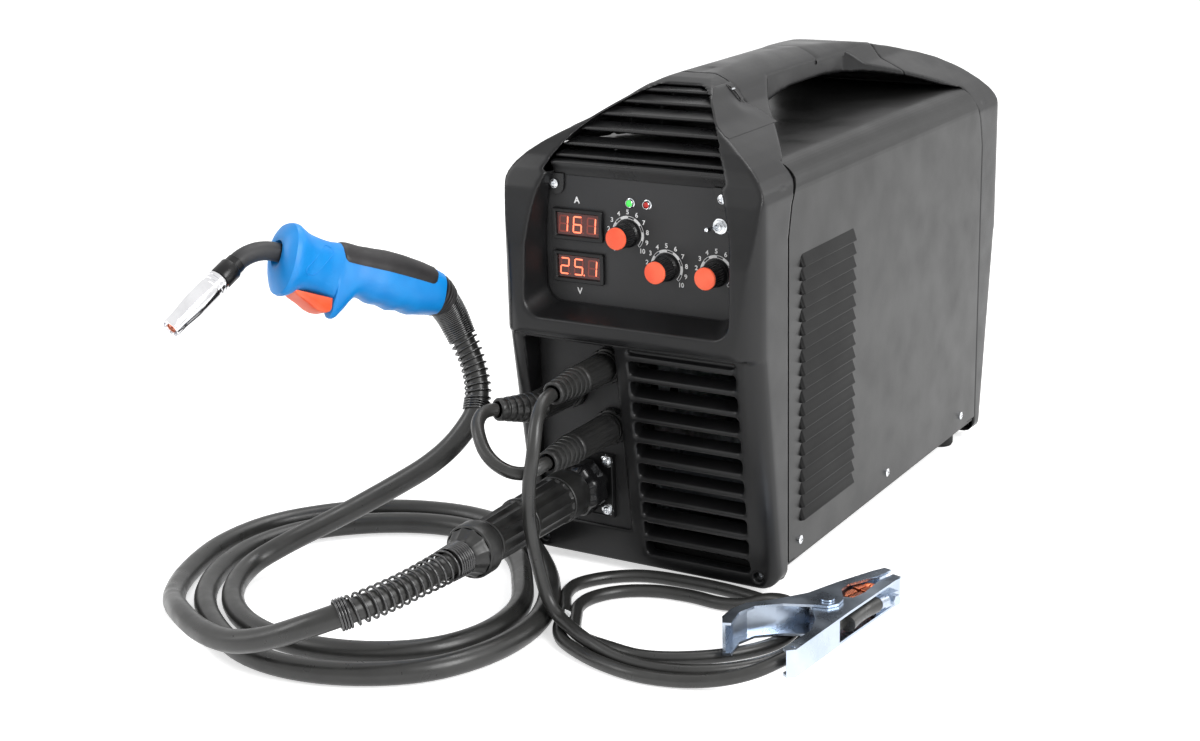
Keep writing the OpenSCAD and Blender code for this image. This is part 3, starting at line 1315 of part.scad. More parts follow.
module head_screw(r, len) {
    difference() {
        union() {
            cylinder(r = r, h = 1.6);
            translate([0, 0, 1.5]) cylinder(r1 = r, r2 = r * 0.55, h = 0.9);
            translate([0, 0, -len]) cylinder(r = 1.6, h = len + 0.5);
        }
        for (a = [0, 90]) rotate([0, 0, a]) translate([-r * 0.55, -0.35, 1.1]) cube([r * 1.1, 0.7, 2]);
    }
}
module screws() {
    color([0.8, 0.81, 0.83]) {
        for (s = [-1, 1]) for (y = side_screws)
            if (s > 0) translate([half_w, y, side_screw_z]) rotate([0, 90, 0]) head_screw(3.6, 4);
            else translate([-half_w, y, side_screw_z]) rotate([0, -90, 0]) head_screw(3.6, 4);
        for (s = [0, 1]) mirror([0, s, 0]) {
            for (t = [-1, 1]) translate([t * bottom_screw_x, -seam - 16, bottom_screw_z])
                rotate([90, 0, 0]) head_screw(3.9, 13);
        }
        for (t = [-1, 1]) translate([t * tab_x, panel_y - 2.4, tab_z]) rotate([90, 0, 0]) head_screw(3.6, 7);
        for (t = [-1, 1]) translate([t * 74, rear_y, 318]) rotate([-90, 0, 0]) head_screw(3.6, 4);
        for (p = gun_screw_spots) translate([p[0], plate_y - 4, p[1]]) rotate([90, 0, 0]) head_screw(3.6, 9);
    }
}

front_bezel();
handle();
rear_bezel();
cover();
side_door();
door_latch();
base_plate();
feet();
divider();
control_panel();
connector_plate();
top_grille();
rear_panel();
fan_frame();
fan_rotor();
switch_housing();
power_rocker();
mains_gland();
gas_inlet();
transformer();
inverter_board();
spool_shaft();
wire_spool();
spool_cap();
feeder_frame();
feed_motor();
drive_roll();
pressure_arm();
pressure_roll();
tension_knob();
meters();
speed_knob();
voltage_knob();
current_knob();
control_board();
toggle_base();
toggle_lever();
weld_sockets();
gun_socket();
earth_plug();
jumper_plugs();
jumper_lead();
earth_cable();
earth_coil();
cable_tie();
clamp_fixed_arm();
clamp_moving_arm();
clamp_spring();
clamp_contacts();
gun_plug();
gun_nut();
gun_springs();
gun_cable();
gun_coil();
gun_handle();
gun_grip();
gun_trigger();
gun_neck();
gas_nozzle();
screws();
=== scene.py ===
import bpy
import math
from mathutils import Euler, Matrix, Vector


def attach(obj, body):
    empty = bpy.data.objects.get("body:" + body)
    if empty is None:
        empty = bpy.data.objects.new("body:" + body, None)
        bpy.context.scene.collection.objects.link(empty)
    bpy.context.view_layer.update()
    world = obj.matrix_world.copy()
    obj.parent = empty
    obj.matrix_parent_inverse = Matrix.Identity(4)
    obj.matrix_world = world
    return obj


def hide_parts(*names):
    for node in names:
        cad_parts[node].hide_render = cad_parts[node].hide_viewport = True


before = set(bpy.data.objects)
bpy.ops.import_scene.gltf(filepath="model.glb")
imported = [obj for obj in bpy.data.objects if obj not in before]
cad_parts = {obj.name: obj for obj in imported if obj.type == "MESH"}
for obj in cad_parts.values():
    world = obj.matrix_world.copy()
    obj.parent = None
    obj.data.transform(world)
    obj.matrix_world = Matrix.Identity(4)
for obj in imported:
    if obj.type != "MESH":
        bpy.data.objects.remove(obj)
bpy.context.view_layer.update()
scene = bpy.context.scene
scene.view_settings.view_transform = "Standard"
mm = 0.001


def linearColour(hexText):
    parts = [int(hexText[i:i + 2], 16) / 255 for i in (1, 3, 5)]
    return tuple(c / 12.92 if c <= 0.04045 else ((c + 0.055) / 1.055) ** 2.4 for c in parts) + (1.0,)


# adds a node, sets its values and links its inputs
def addNode(tree, kind, settings=None, links=None):
    node = tree.nodes.new(kind)
    for key, value in (settings or {}).items():
        if key in node.inputs:
            node.inputs[key].default_value = value
        else:
            setattr(node, key, value)
    for key, source in (links or {}).items():
        tree.links.new(source, node.inputs[key])
    return node


# starts a material: its shader, and the coordinates that its patterns use, in metres
def startFinish(name, colour, roughness, metallic=0.0, **shaderValues):
    material = bpy.data.materials.new(name)
    material.use_nodes = True
    tree = material.node_tree
    tree.nodes.clear()
    values = {"Base Color": linearColour(colour), "Roughness": roughness, "Metallic": metallic}
    values.update(shaderValues)
    shader = addNode(tree, "ShaderNodeBsdfPrincipled", values)
    addNode(tree, "ShaderNodeOutputMaterial", None, {"Surface": shader.outputs[0]})
    coords = addNode(tree, "ShaderNodeTexCoord")
    return material, tree, shader, coords.outputs["Object"]


# two colours that drift into each other in patches of the given size
def driftColour(tree, shader, coords, low, high, patchMm):
    cloud = addNode(tree, "ShaderNodeTexNoise", {"Scale": 1 / (patchMm * mm), "Detail": 4.0},
                    {"Vector": coords})
    ramp = addNode(tree, "ShaderNodeValToRGB", None, {"Fac": cloud.outputs["Fac"]})
    ramp.color_ramp.elements[0].position = 0.32
    ramp.color_ramp.elements[0].color = linearColour(low)
    ramp.color_ramp.elements[1].position = 0.68
    ramp.color_ramp.elements[1].color = linearColour(high)
    tree.links.new(ramp.outputs["Color"], shader.inputs["Base Color"])


# roughness that varies between two values in patches of the given size
def driftGloss(tree, shader, coords, low, high, patchMm):
    cloud = addNode(tree, "ShaderNodeTexNoise", {"Scale": 1 / (patchMm * mm), "Detail": 5.0},
                    {"Vector": coords})
    spread = addNode(tree, "ShaderNodeMapRange", {"From Min": 0.3, "From Max": 0.7, "To Min": low,
            "To Max": high}, {"Value": cloud.outputs["Fac"]})
    tree.links.new(spread.outputs["Result"], shader.inputs["Roughness"])


# bumps from a height socket
def raiseGrain(tree, shader, height, depthMm, strength=1.0):
    bump = addNode(tree, "ShaderNodeBump", {"Strength": strength, "Distance": depthMm * mm},
        {"Height": height})
    tree.links.new(bump.outputs["Normal"], shader.inputs["Normal"])


# fine noise that stands out of the surface
def addGrain(tree, shader, coords, grainMm, detail, depthMm, strength):
    grain = addNode(tree, "ShaderNodeTexNoise", {"Scale": 1 / (grainMm * mm), "Detail": detail},
        {"Vector": coords})
    raiseGrain(tree, shader, grain.outputs["Fac"], depthMm, strength)


# meshes are gathered in millimetres: lists of corners, faces and material numbers
def newShape():
    return {"corners": [], "faces": [], "finishes": []}


def addPart(shape, corners, faces, place=None, finish=0):
    first = len(shape["corners"])
    for corner in corners:
        point = Vector(corner)
        shape["corners"].append(place @ point if place else point)
    for face in faces:
        shape["faces"].append([first + i for i in face])
        shape["finishes"].append(finish)
    return shape


# turns a shape into an object of the scene that rides on a body and can stand for CAD nodes
def makePiece(name, shape, finishes, body, smoothAngle=35, stands=()):
    mesh = bpy.data.meshes.new(name)
    mesh.from_pydata([p * mm for p in shape["corners"]], [], shape["faces"])
    for finish in finishes:
        mesh.materials.append(finish)
    mesh.polygons.foreach_set("material_index", shape["finishes"])
    mesh.validate()
    mesh.update()
    if smoothAngle:
        mesh.shade_smooth()
        mesh.set_sharp_from_angle(angle=math.radians(smoothAngle))
    piece = bpy.data.objects.new(name, mesh)
    scene.collection.objects.link(piece)
    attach(piece, body)
    if stands:
        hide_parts(*stands)
    return piece


# small round edges where faces meet at more than an angle in degrees
def roundEdges(piece, widthMm, segments=3, angle=30):
    bevel = piece.modifiers.new("edges", "BEVEL")
    bevel.width = widthMm * mm
    bevel.segments = segments
    bevel.limit_method = "ANGLE"
    bevel.angle_limit = math.radians(angle)
    bevel.harden_normals = True


# turns a profile of (radius, height) round the z axis
def turned(profile, steps=64):
    corners, faces = [], []
    n = len(profile)
    for i in range(steps):
        a = math.radians(360.0 * i / steps)
        corners += [(r * math.cos(a), r * math.sin(a), h) for r, h in profile]
        j = (i + 1) % steps
        faces += [[i * n + k, j * n + k, j * n + k + 1, i * n + k + 1] for k in range(n - 1)]
    return corners, faces


# joins rings of equal size into a skin, with caps if wanted
def skinned(rings, closedRing=True, capStart=True, capEnd=True):
    n = len(rings[0])
    corners = [p for ring in rings for p in ring]
    faces = []
    for i in range(len(rings) - 1):
        for k in range(n if closedRing else n - 1):
            m = (k + 1) % n
            faces.append([i * n + k, i * n + m, (i + 1) * n + m, (i + 1) * n + k])
    if capStart:
        faces.append(list(range(n))[::-1])
    if capEnd:
        faces.append([(len(rings) - 1) * n + k for k in range(n)])
    return corners, faces


# flat outline in (x, y) raised from z0 to z1
def raised(outline, z0, z1):
    return skinned([[(x, y, z0) for x, y in outline], [(x, y, z1) for x, y in outline]])


# box between two corners
def boxed(low, high):
    x0, y0, z0 = low
    x1, y1, z1 = high
    return raised([(x0, y0), (x1, y0), (x1, y1), (x0, y1)], z0, z1)


# rectangle with round corners, as (x, y) points round its middle
def roundedOutline(width, height, radius, steps=6):
    points = []
    for cx, cy, start in ((1, 1, 0), (-1, 1, 90), (-1, -1, 180), (1, -1, 270)):
        for i in range(steps + 1):
            a = math.radians(start + 90 * i / steps)
            points.append((cx * (width / 2 - radius) + radius * math.cos(a),
                           cy * (height / 2 - radius) + radius * math.sin(a)))
    return points


# place whose z axis points along a direction
def aimed(origin, direction):
    rotation = Vector(direction).normalized().to_track_quat("Z", "Y").to_matrix().to_4x4()
    return Matrix.Translation(Vector(origin)) @ rotation


# smooth curve through points, as many points again between each pair
def smoothPath(points, steps=6):
    pts = [Vector(p) for p in points]
    pts = [2 * pts[0] - pts[1]] + pts + [2 * pts[-1] - pts[-2]]
    path = []
    for i in range(1, len(pts) - 2):
        a, b, c, d = pts[i - 1:i + 3]
        ta = max((b - a).length, 1e-6) ** 0.5
        tb = max((c - b).length, 1e-6) ** 0.5
        tc = max((d - c).length, 1e-6) ** 0.5
        m1 = (c - b + tb * ((b - a) / ta - (c - a) / (ta + tb)))
        m2 = (c - b + tb * ((d - c) / tc - (d - b) / (tb + tc)))
        for k in range(steps):
            t = k / steps
            path.append((2 * t ** 3 - 3 * t ** 2 + 1) * b + (t ** 3 - 2 * t ** 2 + t) * m1
                        + (3 * t ** 2 - 2 * t ** 3) * c + (t ** 3 - t ** 2) * m2)
    path.append(pts[-2])
    return path


# frames that turn as little as possible along a path: (point, side, up, heading)
def framesAlong(path):
    headings = []
    for i in range(len(path)):
        a, b = path[max(i - 1, 0)], path[min(i + 1, len(path) - 1)]
        headings.append((b - a).normalized())
    side = headings[0].orthogonal().normalized()
    frames = []
    for point, heading in zip(path, headings):
        side = (side - heading * side.dot(heading)).normalized()
        frames.append((point, side, heading.cross(side), heading))
    return frames


# tube along a path
def piped(path, radius, sides=16):
    turns = [2 * math.pi * k / sides for k in range(sides)]
    rings = [[point + radius * (math.cos(a) * side + math.sin(a) * up) for a in turns]
             for point, side, up, heading in framesAlong(path)]
    return skinned(rings)


def pathLength(path):
    return sum((path[i + 1] - path[i]).length for i in range(len(path) - 1))


# skins of plastic, paint and rubber: patch of colour, spread and patch of gloss, and a grain with its size,
# detail, depth and strength; sizes in mm
skins = {
    # ABS or nylon from a spark-eroded mould: satin black with a fine even grain
    "moulded": {"patch": 60, "gloss": (-0.05, 0.07, 30), "grain": (0.55, 2.0, 0.06, 0.5), "shine": 0.32},
    # polyester powder on steel sheet: satin, with the slight waviness of sprayed powder
    "powder": {"patch": 80, "gloss": (-0.04, 0.08, 40), "grain": (1.4, 3.0, 0.05, 0.45), "shine": 0.4},
    # rubber and soft PVC: dark, a little dusty, with a fine matt skin
    "rubber": {"patch": 22, "gloss": (-0.08, 0.08, 12), "grain": (0.8, 3.0, 0.05, 0.4), "shine": 0.32},
    # coloured nylon or ABS with a little gloss, its colour a touch uneven
    "coloured": {"patch": 18, "gloss": (-0.05, 0.07, 20), "grain": (0.7, 2.0, 0.03, 0.35), "shine": 0.5},
}


def skinFinish(kind, name, low, high, roughness, grainMm=None, shine=None):
    skin = skins[kind]
    duller, rougher, glossPatch = skin["gloss"]
    size, detail, depth, strength = skin["grain"]
    material, tree, shader, coords = startFinish(name, low, roughness,
                                                 **{"Specular IOR Level": shine or skin["shine"]})
    driftColour(tree, shader, coords, low, high, skin["patch"])
    driftGloss(tree, shader, coords, roughness + duller, roughness + rougher, glossPatch)
    addGrain(tree, shader, coords, grainMm or size, detail, depth, strength)
    return material


# metal that was ground or rolled: fine lines along one axis of the piece
def grainedMetal(name, low, high, roughness, lineMm=0.25, along=(1, 1, 0.04), patchMm=14, depthMm=0.02):
    material, tree, shader, coords = startFinish(name, low, roughness, 1.0)
    driftColour(tree, shader, coords, low, high, patchMm)
    stretch = addNode(tree, "ShaderNodeMapping", {"Scale": along}, {"Vector": coords})
    addGrain(tree, shader, stretch.outputs["Vector"], lineMm, 3.0, depthMm, 0.5)
    driftGloss(tree, shader, coords, roughness - 0.06, roughness + 0.1, patchMm)
    return material


# copper wires woven into a flat strap: copper colour on the crowns, darkened by painted shade in the gaps
# where the wires cross
def wovenCopper(name, low, high, pitchMm):
    material, tree, shader, coords = startFinish(name, high, 0.3, 1.0)
    waves = []
    for turn in (0.9, -0.9):
        tilt = addNode(tree, "ShaderNodeMapping", {"Rotation": (0, 0, turn)}, {"Vector": coords})
        waves.append(addNode(tree, "ShaderNodeTexWave", {"Scale": 0.314 / (pitchMm * mm),
                    "bands_direction": "X"}, {"Vector": tilt.outputs["Vector"]}))
    crowns = addNode(tree, "ShaderNodeMath", {"operation": "MULTIPLY"},
                     {0: waves[0].outputs["Fac"], 1: waves[1].outputs["Fac"]})
    ramp = addNode(tree, "ShaderNodeValToRGB", None, {"Fac": crowns.outputs[0]})
    ramp.color_ramp.elements[0].color = linearColour(low)
    ramp.color_ramp.elements[1].position = 0.45
    ramp.color_ramp.elements[1].color = linearColour(high)
    tree.links.new(ramp.outputs["Color"], shader.inputs["Base Color"])
    raiseGrain(tree, shader, crowns.outputs[0], 0.35, 0.8)
    return material


# epoxy ink printed through a screen: flat colour with soft edges in the grain of the sheet
def printedInk(name, colour, shade):
    material, tree, shader, coords = startFinish(name, colour, 0.5)
    driftColour(tree, shader, coords, shade, colour, 6)
    return material


# light-emitting segment behind a smoked window
def litSegment(name, colour, strength):
    material, tree, shader, coords = startFinish(name, colour, 0.4)
    shader.inputs["Emission Strength"].default_value = strength
    glow = addNode(tree, "ShaderNodeTexNoise", {"Scale": 1 / (2.5 * mm), "Detail": 1.0}, {"Vector": coords})
    ramp = addNode(tree, "ShaderNodeValToRGB", None, {"Fac": glow.outputs["Fac"]})
    ramp.color_ramp.elements[0].color = linearColour(colour)
    ramp.color_ramp.elements[1].color = tuple(min(1.0, c * 1.5 + 0.05)
        for c in linearColour(colour)[:3]) + (1.0,)
    tree.links.new(ramp.outputs["Color"], shader.inputs["Emission Color"])
    return material


housingAbs = skinFinish("moulded", "moulded_abs_black", "#121213", "#181819", 0.33)
panelFilm = skinFinish("moulded", "printed_panel_black", "#232324", "#2b2b2c", 0.46, 0.45, 0.4)
coverPaint = skinFinish("powder", "powder_coat_black", "#101010", "#151515", 0.34, None, 0.36)
# louvre faces: a darker copy of the cover's powder coat, painted shade for the darker look of the sloping
# faces
louvrePaintedShade = skinFinish("powder", "powder_coat_in_shade", "#060606", "#0a0a0a", 0.38, None, 0.15)
smallAbs = skinFinish("moulded", "moulded_nylon_black", "#0e0e0f", "#151516", 0.34)
leadJacket = skinFinish("rubber", "pvc_lead_jacket", "#272726", "#30302f", 0.34, 0.8, 0.5)
plugRubber = skinFinish("rubber", "moulded_rubber_black", "#1e1e1e", "#272726", 0.38, 0.8, 0.45)
gripRubber = skinFinish("rubber", "thermoplastic_grip", "#252425", "#302e2f", 0.46)
feetRubber = skinFinish("rubber", "feet_rubber", "#191919", "#222222", 0.7)
springSteel = skinFinish("moulded", "lacquered_spring_steel", "#101011", "#1a1a1b", 0.2, 1.2, 0.95)
hoodAbs = skinFinish("moulded", "moulded_abs_slats", "#111112", "#171718", 0.28, 0.7, 0.42)
deepShade = skinFinish("moulded", "unlit_inside_of_shell", "#030303", "#060606", 0.7, 2.0, 0.1)
zincPlate = grainedMetal("bright_zinc_plate", "#aab6c6", "#c2ccd9", 0.27, 0.5, (1, 1, 1), 30, 0.006)
nickelScrew = grainedMetal("nickel_plated_screw", "#cfd2d6", "#eceef0", 0.18, 0.3)
polishedNozzle = grainedMetal("chromed_copper_nozzle", "#d9d9dc", "#f2f2f4", 0.08, 0.6, (1, 1, 1), 20,
    0.004)
bareCopper = grainedMetal("bare_copper", "#c4603c", "#e08058", 0.30, 0.3)
copperBraid = wovenCopper("woven_copper_strap", "#4a1c10", "#e88a62", 1.9)
machinedBrass = grainedMetal("machined_brass", "#b98f3f", "#d8b367", 0.26, 0.3)
dieCast = grainedMetal("die_cast_zinc_alloy", "#8f9296", "#a9acb0", 0.48, 0.9, (1, 1, 1), 20)
galvanised = grainedMetal("galvanised_sheet", "#9ea3a8", "#c2c7cb", 0.42, 1.5, (1, 1, 1), 9)
groundSteel = grainedMetal("hardened_ground_steel", "#b4b7bb", "#d3d6d9", 0.22, 0.25)
wireCopper = grainedMetal("copper_coated_wire", "#b0693c", "#cf8a58", 0.28, 0.8, (0.02, 1, 1), 30, 0.08)
windingEnamel = grainedMetal("enamelled_copper_winding", "#8c4a22", "#b0683a", 0.32, 1.2, (1, 0.03, 1), 12,
    0.2)
motorPaint = skinFinish("powder", "motor_lacquer", "#3b3e42", "#474a4f", 0.42)
torchBlue = skinFinish("coloured", "moulded_nylon_blue", "#0084d6", "#068fe0", 0.40)
triggerOrange = skinFinish("coloured", "moulded_abs_orange", "#f2572e", "#fb6a40", 0.40)
knobOrange = skinFinish("coloured", "knob_cap_orange", "#fb5a36", "#ff6f4c", 0.42)
neckSleeve = skinFinish("rubber", "heat_sleeve_black", "#2f2f30", "#3a3a3b", 0.45)
glossAbs = skinFinish("moulded", "glossy_nylon_black", "#0e0e0f", "#151516", 0.16, 1.4)
insulator = skinFinish("moulded", "phenolic_insulator", "#121213", "#1a1a1b", 0.30)
boardGreen = skinFinish("coloured", "solder_mask_green", "#0f4d2c", "#17603a", 0.38)
tieNylon = skinFinish("coloured", "natural_nylon_tie", "#e4e6e6", "#f4f5f5", 0.38)
whiteInk = printedInk("white_screen_ink", "#f2f2f2", "#dcdcdc")
segmentRed = litSegment("lit_segment", "#ff6a48", 1.7)
segmentOff = skinFinish("coloured", "unlit_segment", "#8a3a30", "#9c463a", 0.4)
digitCell = skinFinish("coloured", "digit_cell", "#4d1a15", "#5c231c", 0.3)
lampGreen = litSegment("green_lamp", "#3fd04a", 0.7)
lampRed = skinFinish("coloured", "red_lamp", "#a81512", "#c6231b", 0.2)
smokedWindow = skinFinish("coloured", "smoked_red_window", "#4a0d0a", "#5a120d", 0.14)
print("finishes:", len(bpy.data.materials))


# camera: its place in millimetres and its angles in degrees
cameraSettings = {"place": (756.5, -1542.3, 637.8), "azimuth": 31.21, "elevation": 16.81, "roll": -1.57,
                  "focal": 1993.52, "centre": (602.99, 366.40), "picture": (1200, 741)}
cameraData = bpy.data.cameras.new("camera")
camera = bpy.data.objects.new("camera", cameraData)
scene.collection.objects.link(camera)
scene.camera = camera
pictureWidth, pictureHeight = cameraSettings["picture"]
cameraData.sensor_width = 36
cameraData.lens = 36 * cameraSettings["focal"] / pictureWidth
cameraData.shift_x = -(cameraSettings["centre"][0] - pictureWidth / 2) / pictureWidth
cameraData.shift_y = (cameraSettings["centre"][1] - pictureHeight / 2) / pictureWidth
cameraData.clip_end = 50
camera.matrix_world = (Matrix.Translation(Vector(cameraSettings["place"]) * mm)
                       @ Matrix.Rotation(math.radians(cameraSettings["azimuth"]), 4, "Z")
                       @ Matrix.Rotation(math.radians(90 - cameraSettings["elevation"]), 4, "X")
                       @ Matrix.Rotation(math.radians(cameraSettings["roll"]), 4, "Z"))
print("camera placed")


# moulded hoods: one even skin with the soft edges that a mould leaves
shellSettings = {"skin": 1.4, "passes": 7}
for nodeName in ("front_bezel", "handle", "rear_bezel"):
    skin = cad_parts[nodeName].modifiers.new("even_skin", "REMESH")
    skin.mode = "VOXEL"
    skin.voxel_size = shellSettings["skin"] * mm
    skin.use_smooth_shade = True
    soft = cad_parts[nodeName].modifiers.new("soft_edges", "SMOOTH")
    soft.factor = 0.5
    soft.iterations = shellSettings["passes"]

# pressed louvres: a sloping hood with rounded cheeks, open at its foot, coloured darker than the cover as
# painted shade
louvreSettings = {"count": 20, "pitch": 11.0, "first": 53.7, "front": -186.0, "length": 103.0, "cheek": 4.0,
    "sheet": 115.0, "hood": [(0.05, 9.6), (0.2, 9.1), (0.7, 8.0), (1.7, 4.9), (2.8, 1.7), (3.3, 0.7),
        (3.5, 0.2), (3.4, -0.25), (3.0, -0.4), (0.0, -0.4)]}


def pressLouvres(settings):
    shape = newShape()
    cheek = settings["cheek"]
    inset = [0, 0.12, 0.4, 0.9, 1.6, 2.5, 3.2, cheek]
    stations = inset + [settings["length"] / 2] + [settings["length"] - d for d in inset[::-1]]
    for i in range(settings["count"]):
        low = settings["first"] + i * settings["pitch"]
        rings = []
        for along in stations:
            depth = min(along, settings["length"] - along, cheek) / cheek
            swell = math.sqrt(max(0.0, 1 - (1 - depth) ** 2))
            ring = []
            for out, up in settings["hood"]:
                ring.append((settings["sheet"] + out * swell, settings["front"] + along,
                             low + (up * (0.25 + 0.75 * swell) if up > 3 else up)))
            rings.append(ring)
        addPart(shape, *skinned(rings, False, False, False))
    makePiece("cover_louvres", shape, [louvrePaintedShade], "machine", 40)


pressLouvres(louvreSettings)
for nodeName, width in (("control_panel", 0.4), ("gun_socket", 0.8), ("top_grille", 0.5),
        ("weld_sockets", 0.8), ("clamp_fixed_arm", 0.5), ("clamp_moving_arm", 0.5)):
    roundEdges(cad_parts[nodeName], width, 2, 40)
print("shell softened, louvres pressed")


# front hood: slats with rounded noses, a brow above the panel, and a moulded cheek on each side of the arch
hoodSettings = {
    "roof": [(-245, 335), (-239, 345), (-231, 355), (-219, 365), (-204, 375), (-184, 385), (-164, 393),
             (-149, 397.5), (-134, 399.5)],
    "slats": [388.7, 381.5, 373.2, 363.4, 352.8, 344.6], "setBack": 6, "slatDepth": 17, "slatRise": 3.0,
    "slatRadius": 1.6, "brow": 340.0, "browFoot": 329.3, "panelFace": -234.3,
    "cheek": {"wall": 2.0, "from": -216.5, "length": 82.7, "foot": 364.5, "top": 393.5, "lip": 2.1,
              "fade": (-161, 26)},
    # half widths that shrink with height: widest half, where it starts and ends, and two powers
    "arch": (92, 270, 397, 2.35, 0.6), "flank": (115, 322, 402, 2, 1.5), "grip": (42, 372, 402, 2, 0.55),
    "slot": {"y": -142, "z": 386, "half": 9.5, "width": 2.7}}


# half width at a height
def domed(z, half, z0, z1, a, b):
    return half * max(0.0, 1 - max(0.0, (z - z0) / (z1 - z0)) ** a) ** b


# straight lines between the pairs of a table
def between(table, x):
    for (x0, v0), (x1, v1) in zip(table, table[1:]):
        if x <= x1:
            return v0 + (v1 - v0) * max(0.0, (x - x0) / (x1 - x0))
    return table[-1][1]


# cheek's outer side: over the arch's rim in front, flush with the handle at its back
def cheekSide(y, z):
    cheek = hoodSettings["cheek"]
    flank = max(domed(z, *hoodSettings["flank"]), domed(z, *hoodSettings["grip"])) + 0.2
    rim = domed(z, *hoodSettings["arch"]) + cheek["lip"]
    rimmed = (flank + rim + math.sqrt((flank - rim) ** 2 + 3)) / 2
    start, length = cheek["fade"]
    back = min(1.0, max(0.0, (y - start) / length))
    return flank + (rimmed - flank) * (1 - back * back * (3 - 2 * back))


def buildSlats(settings):
    shape = newShape()
    r = settings["slatRadius"]
    roof = [(z, y) for y, z in settings["roof"]]
    arch = settings["arch"]
    for z in settings["slats"]:
        y = between(roof, z) + settings["setBack"]
        # the uppermost slat is cut short in front of the handle
        deep = min(settings["slatDepth"], -160 - y) if z > 383 else settings["slatDepth"]
        rise = settings["slatRise"] * deep / settings["slatDepth"]
        section = [(r - r * math.sin(math.radians(a)), r * math.cos(math.radians(a)))
            for a in range(0, 181, 20)]
        section += [(deep, rise - r * 0.7), (deep, rise + r * 0.7)]
        addPart(shape, *skinned([[(side * (domed(z + up, *arch) - 0.25), y + back, z + up)
                    for back, up in section] for side in (-1, 1)]))
    # brow with a rounded nose, leaning back to the panel's face
    nose, foot, face = settings["brow"], settings["browFoot"], settings["panelFace"]
    y = between(roof, nose) + 4.5
    section = [(y + 10, nose + 2.4), (y + 3, nose + 1.4), (y + 1.2, nose + 0.9), (y + 0.3, nose + 0.2),
        (y, nose - 0.8), (y + 0.1, nose - 1.6), (y + 1.4, nose - 4.2), (face - 0.6, foot + 1.4),
        (face, foot), (face + 1.2, foot), (face + 1.2, foot + 4), (y + 10, nose)]
    addPart(shape, *skinned([[(side * (domed(up, *arch) - 0.3 - 7.2 * min(1.0, max(0.0, (nose - up) / 10))),
                back, up) for back, up in section] for side in (-1, 1)]))
    # lobes that carry the panel's upper screws
    lobe = [(-77.0, 330.5), (-77.4, 322), (-77.8, 314.2), (-73, 313.6), (-69.4, 315), (-67.2, 318.2),
        (-66.6, 322.5), (-66.4, 330.5)]
    for side in (-1, 1):
        corners, faces = raised([(side * x, z) for x, z in lobe], 0, 1.9)
        addPart(shape, [(x, face + 0.1 - up, z) for x, z, up in corners], faces)
    slats = makePiece("hood_slats", shape, [hoodAbs], "machine", 40, ["top_grille"])
    roundEdges(slats, 0.35, 2, 45)


def buildCheeks(settings, stations=33, steps=14):
    cheek = settings["cheek"]
    for name, side in (("hood_cheek_right", 1), ("hood_cheek_left", -1)):
        rings = []
        for i in range(stations + 1):
            y = cheek["from"] + cheek["length"] * i / stations
            high = min(between(settings["roof"], y) - 0.4, cheek["top"])
            heights = [cheek["foot"] + (high - cheek["foot"]) * k / steps for k in range(steps + 1)]
            rings.append([(side * cheekSide(y, z), y, z) for z in heights]
                         + [(side * (cheekSide(y, z) - cheek["wall"]), y, z - 0.4) for z in heights[::-1]])
        shape = addPart(newShape(), *skinned(rings))
        roundEdges(makePiece(name, shape, [housingAbs], "machine", 50), 0.6, 3, 50)


# eye for the carrying strap in the right cheek: a well whose floor is a dark disc of painted shade, with a
# pin across it
def buildStrapEye(slot, steps=40):
    shape = newShape()
    rings = []
    for grow, lift in ((0.7, 0.0), (0.55, 0.6), (0.1, 0.7), (-0.15, 0.5), (-0.35, 0.3)):
        ring = []
        for k in range(steps):
            a = 2 * math.pi * k / steps
            downSlope = math.copysign(abs(math.cos(a)) ** 0.9, math.cos(a)) * (slot["half"] + grow)
            across = math.sin(a) * (slot["width"] + grow) * (1 + 0.25 * math.cos(a))
            y = slot["y"] + across + 0.09 * downSlope
            z = slot["z"] - downSlope * 0.66
            ring.append((cheekSide(y, z) + lift * 0.77, y, z + lift * 0.64))
        rings.append(ring)
    addPart(shape, *skinned(rings, True, False, False))
    centre = tuple(sum(p[i] for p in ring) / steps for i in range(3))
    addPart(shape, ring + [centre], [[k, (k + 1) % steps, steps] for k in range(steps)], None, 1)
    pin = [Vector((cheekSide(slot["y"] + s, slot["z"] + 2.6) + 0.5, slot["y"] + s, slot["z"] + 3.2))
        for s in (-2.6, 2.6)]
    addPart(shape, *piped(pin, 0.85, 16), None, 2)
    makePiece("strap_eye", shape, [housingAbs, deepShade, nickelScrew], "machine", 40)


# crown of the handle behind its middle: its top wall, which slopes down to the rear hood
crownSettings = {"ridge": [(-40, 402), (10, 401), (50, 399), (90, 396), (110, 393.5), (158, 386.5)],
    "from": 20,
    "to": 134.2, "half": 33.0, "flat": 29.5, "wall": 3.0, "foot": 372, "rise": 30, "width": 42,
    "power": 1.818, "lift": 0.65}


def buildCrown(settings, stations=46, steps=20):
    rings = []
    start, flat, half = settings["from"], settings["flat"], settings["half"]
    for i in range(stations + 1):
        y = start + (settings["to"] - start) * i / stations
        roof = between(settings["ridge"], y)
        lift = settings["lift"] - 0.8 * max(0.0, 1 - (y - start) / 9) ** 2
        outer = []
        for k in range(2 * steps + 1):
            x = half * (k / steps - 1)
            dome = settings["foot"] + settings["rise"] * math.sqrt(
                max(0.0, 1 - (abs(x) / settings["width"]) ** settings["power"]))
            height = (dome + roof - math.sqrt((dome - roof) ** 2 + 1.2)) / 2
            outer.append((x, y, height + lift - max(0.0, (abs(x) - flat) / (half - flat)) ** 2))
        rings.append(outer + [(x, y, z - settings["wall"]) for x, y, z in outer[::-1]])
    shape = addPart(newShape(), *skinned(rings))
    makePiece("handle_crown", shape, [housingAbs], "machine", 50)


buildCrown(crownSettings)
buildSlats(hoodSettings)
buildCheeks(hoodSettings)
buildStrapEye(hoodSettings["slot"])
print("hood slats and cheeks built")


